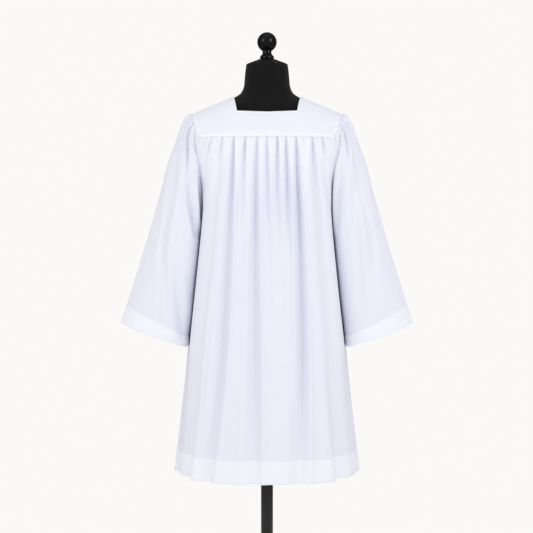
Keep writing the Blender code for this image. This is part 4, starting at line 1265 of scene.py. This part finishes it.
# %% Two black finishes
def make_lacquer():
    box = PaintBox("black_lacquer", 0.22, Coat_Weight=0.6, Coat_Roughness=0.16)
    place = box.place((1, 1, 1))
    haze = box.noise(place, 60.0, 3.0)
    box.feed("Base Color", box.mix(haze, (0.0020, 0.0020, 0.0022, 1), (0.0032, 0.0032, 0.0034, 1)))
    box.feed("Roughness", 0.24 + haze * 0.10)
    box.bump(box.noise(place, 350.0, 1.0), 0.0001, 0.08)
    return box.material


def make_powder_coat():
    box = PaintBox("black_powder_coat", 0.45)
    place = box.place((1, 1, 1))
    grain = box.noise(place, 1400.0, 2.0)
    dust = box.noise(place, 14.0, 3.0)
    box.feed("Base Color", box.mix(dust, (0.010, 0.010, 0.011, 1), (0.017, 0.017, 0.018, 1)))
    box.feed("Roughness", 0.40 + dust * 0.12)
    box.bump(grain, 0.00015, 0.35)
    return box.material


LACQUER = make_lacquer()
POWDER_COAT = make_powder_coat()
print("finishes:", LACQUER.name, "and", POWDER_COAT.name)

# %% Turn a profile
Turn = namedtuple("Turn", "radius z")


def arc(middle_radius, middle_z, radius, start, end, count, height=None):
    """Points of an arc of a profile; angles are in degrees from straight up, going outward."""
    height = radius if height is None else height
    angles = np.radians(np.linspace(start, end, count))
    out, up = middle_radius + radius * np.sin(angles), middle_z + height * np.cos(angles)
    return [Turn(float(r), float(z)) for r, z in zip(out, up)]


def make_turned(name, profile, paint, node, steps=96):
    mesh = bpy.data.meshes.new(name)
    edges = [(i, i + 1) for i in range(len(profile) - 1)]
    mesh.from_pydata([(p.radius, 0, p.z) for p in profile], edges, [])
    mesh.materials.append(paint)
    obj = add_object(name, mesh)
    screw = obj.modifiers.new("turned on the lathe", "SCREW")
    screw.steps = screw.render_steps = steps
    screw.use_merge_vertices = True
    screw.merge_threshold = 0.00001
    screw.use_smooth_shade = True
    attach(obj, "root")
    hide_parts(node)
    print(f"{name}: {len(profile)} points turned in {steps} steps")


# %% Make the turned pieces
CAP_TOP, CAP_FOOT = 1.5486, 1.5304
cap_profile = (
    [Turn(0, CAP_TOP), Turn(0.0185, CAP_TOP), Turn(0.0209, 1.5484), Turn(0.0230, 1.5480)]
    + [Turn(0.0248, 1.5474), Turn(0.0266, 1.5467), Turn(0.0345, 1.5433), Turn(0.0500, 1.5367)]
    + arc(0.0532, 1.5316, 0.0035, 23, 90, 7, height=0.0036)
    + [Turn(0.0567, CAP_FOOT), Turn(0, CAP_FOOT)]
)
BALL_Z, BALL_RADIUS = 1.5957, 0.0263
WAIST_RADIUS, WAIST_Z = 0.0122, 1.5662
BEAD_Z, BEAD_SWELL, BEAD_HALF = 1.5528, 0.0067, 0.0085
ball = arc(0, BALL_Z, BALL_RADIUS, 0, 152, 40)
neck_of_knob = [Turn(0.0124, 1.5705), Turn(0.0122, 1.5685)]
neck_of_knob += [Turn(WAIST_RADIUS, WAIST_Z), Turn(0.0126, 1.5632)]
bead = arc(WAIST_RADIUS, BEAD_Z, BEAD_SWELL, 15, 100, 12, height=BEAD_HALF)
knob_foot = [Turn(0.0182, 1.5500), Turn(0.0178, 1.5490), Turn(0, 1.5490)]
knob_profile = ball + neck_of_knob + bead + knob_foot
FOOT_RADIUS, FOOT_HEIGHT, POLE_RADIUS = 0.185, 0.014, 0.016
foot_profile = (
    [Turn(0, FOOT_HEIGHT), Turn(0.029, FOOT_HEIGHT), Turn(0.0310, 0.0136)]
    + [Turn(0.060, 0.0130), Turn(0.090, 0.0122), Turn(0.120, 0.0115), Turn(0.150, 0.0101)]
    + [Turn(0.174, 0.0088), Turn(0.1795, 0.0079), Turn(0.1830, 0.0063), Turn(0.1845, 0.0046)]
    + [Turn(FOOT_RADIUS, 0.0028)]
    + [Turn(FOOT_RADIUS, 0.0), Turn(0, 0.0)]
)
pole_low, pole_high = FOOT_HEIGHT + SEAM_GAP, FORM[0].z - SEAM_GAP
pole_profile = [Turn(0, pole_high), Turn(POLE_RADIUS, pole_high), Turn(POLE_RADIUS, 0.5)]
pole_profile += [Turn(POLE_RADIUS, pole_low), Turn(0, pole_low)]
make_turned("neck_cap_lacquered", cap_profile, LACQUER, "neck_cap")
make_turned("finial_lacquered", knob_profile, LACQUER, "finial")
make_turned("stand_foot_coated", foot_profile, POWDER_COAT, "stand_base", 128)
make_turned("stand_pole_coated", pole_profile, POWDER_COAT, "stand_pole", 64)

# %% [markdown]
# ## Sewing
#
# Stitches are the best thing to leave to Geometry Nodes: one small shape repeated along a line.
# The tree takes the sewing line, spaces points along it, puts a stitch at each, turned to lie
# along the thread, makes the copies real and gives them the thread's paint. The sewing lines are
# read off the grids of the pieces, so that each lies on its cloth.

# %% The stitch tree
THREAD_RADIUS = 0.00022
STITCH = 0.0021
STITCH_PITCH = 0.0030
UNEVEN = (0.92, 1.06)  # the smallest and the largest stitch, against the size above
SEED = 7


def make_thread():
    box = PaintBox("white_sewing_thread", 0.6, Sheen_Weight=0.1)
    ply = box.noise(box.place((1, 1, 1)), 3000.0, 1.0)
    box.feed("Base Color", box.mix(ply, (0.76, 0.775, 0.86, 1), (0.84, 0.85, 0.91, 1)))
    box.feed("Roughness", 0.52 + ply * 0.15)
    return box.material


def make_stitch_tree(thread):
    tree = bpy.data.node_groups.new("row_of_stitches", "GeometryNodeTree")
    face = tree.interface
    face.new_socket("Sewing line", in_out="INPUT", socket_type="NodeSocketGeometry")
    sizes = {"Pitch": STITCH_PITCH, "Stitch length": STITCH, "Thread radius": THREAD_RADIUS}
    for name, size in sizes.items():
        face.new_socket(name, in_out="INPUT", socket_type="NodeSocketFloat").default_value = size
    face.new_socket("Seed", in_out="INPUT", socket_type="NodeSocketInt").default_value = SEED
    face.new_socket("Stitches", in_out="OUTPUT", socket_type="NodeSocketGeometry")
    box = NodeBox(tree)
    given = box.node("NodeGroupInput")
    radius = given.beside("Thread radius")
    spacing = {"Curve": given.beside("Sewing line"), "Length": given.beside("Pitch")}
    points = box.node("GeometryNodeCurveToPoints", {"mode": "LENGTH"}, spacing, "Points")
    pill = box.node("GeometryNodeMeshUVSphere", None, {"Segments": 6, "Rings": 4, "Radius": 1.0})
    size = {"X": radius, "Y": radius, "Z": given.beside("Stitch length") * 0.5}
    size = box.node("ShaderNodeCombineXYZ", None, size)
    stitch = box.node("GeometryNodeTransform", None, {"Geometry": pill, "Scale": size})
    range_of_sizes = {2: UNEVEN[0], 3: UNEVEN[1], "Seed": given.beside("Seed")}
    uneven = box.node("FunctionNodeRandomValue", {"data_type": "FLOAT"}, range_of_sizes, 1)
    lying = {"Points": points, "Rotation": points.beside("Rotation")}
    copies = {"Instance": stitch, "Scale": uneven, **lying}
    copies = box.node("GeometryNodeInstanceOnPoints", None, copies)
    real = box.node("GeometryNodeRealizeInstances", None, {"Geometry": copies})
    paint = box.node("GeometryNodeSetMaterial", None, {"Geometry": real, "Material": thread})
    result = tree.nodes.new("NodeGroupOutput")
    tree.links.new(paint.socket, result.inputs["Stitches"])
    return tree


THREAD_PAINT = make_thread()
STITCH_TREE = make_stitch_tree(THREAD_PAINT)
print("stitch tree:", len(STITCH_TREE.nodes), "nodes")

# %% Sew along lines
THREAD_LIFT = 0.00015
PANEL_HEM_ROW = 1 + 12 + 74 + 4  # the row of a panel's grid just under the top of its hem
SLEEVE_HEM_ROW = 2 + int(np.argmin(np.abs(sleeve_alongs() - (CUFF_SHARE + 0.0025))))


def sew(name, line):
    """A row of stitches along a line of points, as one piece."""
    data = bpy.data.curves.new(name, "CURVE")
    data.dimensions = "3D"
    spline = data.splines.new("POLY")
    spline.points.add(len(line) - 1)
    spline.points.foreach_set("co", np.column_stack([line, np.ones(len(line))]).ravel())
    guide = add_object(name + "_line", data)
    modifier = guide.modifiers.new("stitches", "NODES")
    modifier.node_group = STITCH_TREE
    for item in STITCH_TREE.interface.items_tree:
        if item.name == "Pitch":
            modifier[item.identifier] = STITCH_PITCH
    graph = bpy.context.evaluated_depsgraph_get()
    mesh = bpy.data.meshes.new_from_object(guide.evaluated_get(graph), depsgraph=graph)
    mesh.name = name
    bpy.data.objects.remove(guide)
    obj = add_object(name, mesh)
    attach(obj, "root")
    print(f"{name}: {len(mesh.polygons)} faces")
    return obj


def lifted(grid, row, flip=False):
    """A row of a grid moved a thread's width out of the cloth."""
    return grid[row] + grid_normals(grid, flip)[row] * THREAD_LIFT


def ring_line(grid, row, flip):
    """The same, for the closed ring of a sleeve."""
    return lifted(np.concatenate([grid, grid[:, :1]], axis=1), row, flip)


def yoke_line(yoke, grid, turns):
    """The topstitching above the lower edge of a yoke."""
    sewing_turn = YOKE_TURN - WELT_HEIGHT / yoke_radius(yoke) + SEWN_PAST
    return lifted(grid, int(np.argmin(np.abs(turns - sewing_turn))), yoke.side > 0)[1:-1]


hem_line = [lifted(back_grid, PANEL_HEM_ROW)[2:-2], lifted(front_grid, PANEL_HEM_ROW, True)[2:-2]]
back_hem_sewing = sew("back_hem_stitches", hem_line[0])
front_hem_sewing = sew("front_hem_stitches", hem_line[1])
left_cuff_sewing = sew("left_cuff_stitches", ring_line(left_grid, SLEEVE_HEM_ROW, False))
right_cuff_sewing = sew("right_cuff_stitches", ring_line(right_grid, SLEEVE_HEM_ROW, True))
back_yoke_sewing = sew("back_yoke_stitches", yoke_line(BACK, *back_yoke_rows))
front_yoke_sewing = sew("front_yoke_stitches", yoke_line(FRONT, *front_yoke_rows))

# %% [markdown]
# ## What each sheet was cut to
#
# Every piece of cloth carries the flat size of its cut in its UV map, in metres, as a pattern
# cutter would write it down, with its gathers let out and its hem turned down.

# %% [markdown]
# ## The studio
#
# The garment stands in a bright, even, nearly shadowless studio. A white room lights it from all
# round, more from the front than from the sides and the back, which models the folds. Two tall
# soft boxes stand in front, one to each side, and give the knob its two highlights; a third
# hangs over it. The floor is a pale disc that fades away.

# %% Floor
FLOOR_RADIUS = 3.0
FLOOR_FADES = (0.45, 1.05)  # how far out the floor starts to fade and is gone


def add_floor():
    box = PaintBox("pale_studio_floor", 0.7)
    box.shader.inputs["Base Color"].default_value = (0.86, 0.855, 0.845, 1)
    place = box.place((1, 1, 0))
    distance = box.node("ShaderNodeVectorMath", {"operation": "LENGTH"}, {0: place}, "Value")
    far = distance.smooth_step(*FLOOR_FADES)
    gone = box.node("ShaderNodeBsdfTransparent")
    inputs = {0: far, 1: Wire(box, box.shader.outputs[0]), 2: gone}
    box.finish(box.node("ShaderNodeMixShader", inputs=inputs), "Material Output", "Surface")
    bpy.ops.mesh.primitive_circle_add(vertices=128, radius=FLOOR_RADIUS, fill_type="NGON")
    floor = bpy.context.object
    floor.name = "studio_floor"
    floor.data.materials.append(box.material)
    return floor


print("floor:", add_floor().name)

# %% Room
BACKDROP = (0.956, 0.947, 0.930, 1.0)
ROOM_LIGHT = (1.0, 1.0, 1.0, 1.0)
# the room's own light, then what its large panels add: direction and strength
ROOM_STRENGTH = 0.92
ROOM_PANELS = [
    ((0.0, -1.0, 0.0), 0.16),
    ((0.0, 0.0, 1.0), -0.20),
    ((1.0, 0.0, 0.0), -0.12),
    ((-1.0, 0.0, 0.0), -0.04),
    ((-0.28, 0.96, 0.0), -0.32),
]
SEEN_IN_GLOSS = 0.08  # how much of the room shows in a glossy surface


def room_brightness(box):
    """How bright the room is in each direction."""
    direction = box.node("ShaderNodeTexCoord", output="Generated")
    total = ROOM_STRENGTH
    for panel, strength in ROOM_PANELS:
        inputs = {0: direction, 1: panel}
        facing = box.node("ShaderNodeVectorMath", {"operation": "DOT_PRODUCT"}, inputs, "Value")
        facing = facing.at_least(0.0)
        total = facing * facing * strength + total
    return total


def add_world():
    """A white wall to look at, and a dimmer room to light by."""
    world = bpy.data.worlds.new("white_studio")
    world.use_nodes = True
    box = NodeBox(world.node_tree)
    glossy = box.node("ShaderNodeLightPath", output="Is Glossy Ray")
    strength = room_brightness(box) * (1 - glossy * (1 - SEEN_IN_GLOSS))
    room = box.node("ShaderNodeBackground", inputs={"Color": ROOM_LIGHT, "Strength": strength})
    wall = box.node("ShaderNodeBackground", inputs={"Color": BACKDROP, "Strength": 1.0})
    looking = box.node("ShaderNodeLightPath", output="Is Camera Ray")
    both = box.node("ShaderNodeMixShader", inputs={0: looking, 1: room, 2: wall})
    box.finish(both, "World Output", "Surface")
    bpy.context.scene.world = world
    print("room:", len(box.tree.nodes), "nodes and", len(ROOM_PANELS), "panels")


add_world()

# %% Lamps
LIT_MIDDLE = (0, 0, 1.05)


def add_soft_box(name, azimuth, elevation, distance, size, power):
    data = bpy.data.lights.new(name, "AREA")
    data.shape = "RECTANGLE"
    data.size, data.size_y = size
    data.energy = power
    lamp = add_object(name, data)
    azimuth, elevation = math.radians(azimuth), math.radians(elevation)
    away = Vector((math.sin(azimuth), -math.cos(azimuth), math.tan(elevation)))
    away *= distance * math.cos(elevation)
    lamp.location = Vector(LIT_MIDDLE) + away
    lamp.rotation_euler = (-away).to_track_quat("-Z", "Y").to_euler()
    lamp.visible_camera = False


add_soft_box("soft_box_left", -48, 24, 3.4, (0.8, 1.4), 7)
add_soft_box("soft_box_right", 48, 24, 3.4, (0.8, 1.4), 11)
add_soft_box("soft_box_over", 0, 78, 3.0, (1.6, 1.6), 2)
bpy.context.scene.view_settings.view_transform = "Standard"
bpy.context.scene.view_settings.look = "None"
print("lights:", [o.name for o in bpy.data.objects if o.type == "LIGHT"])
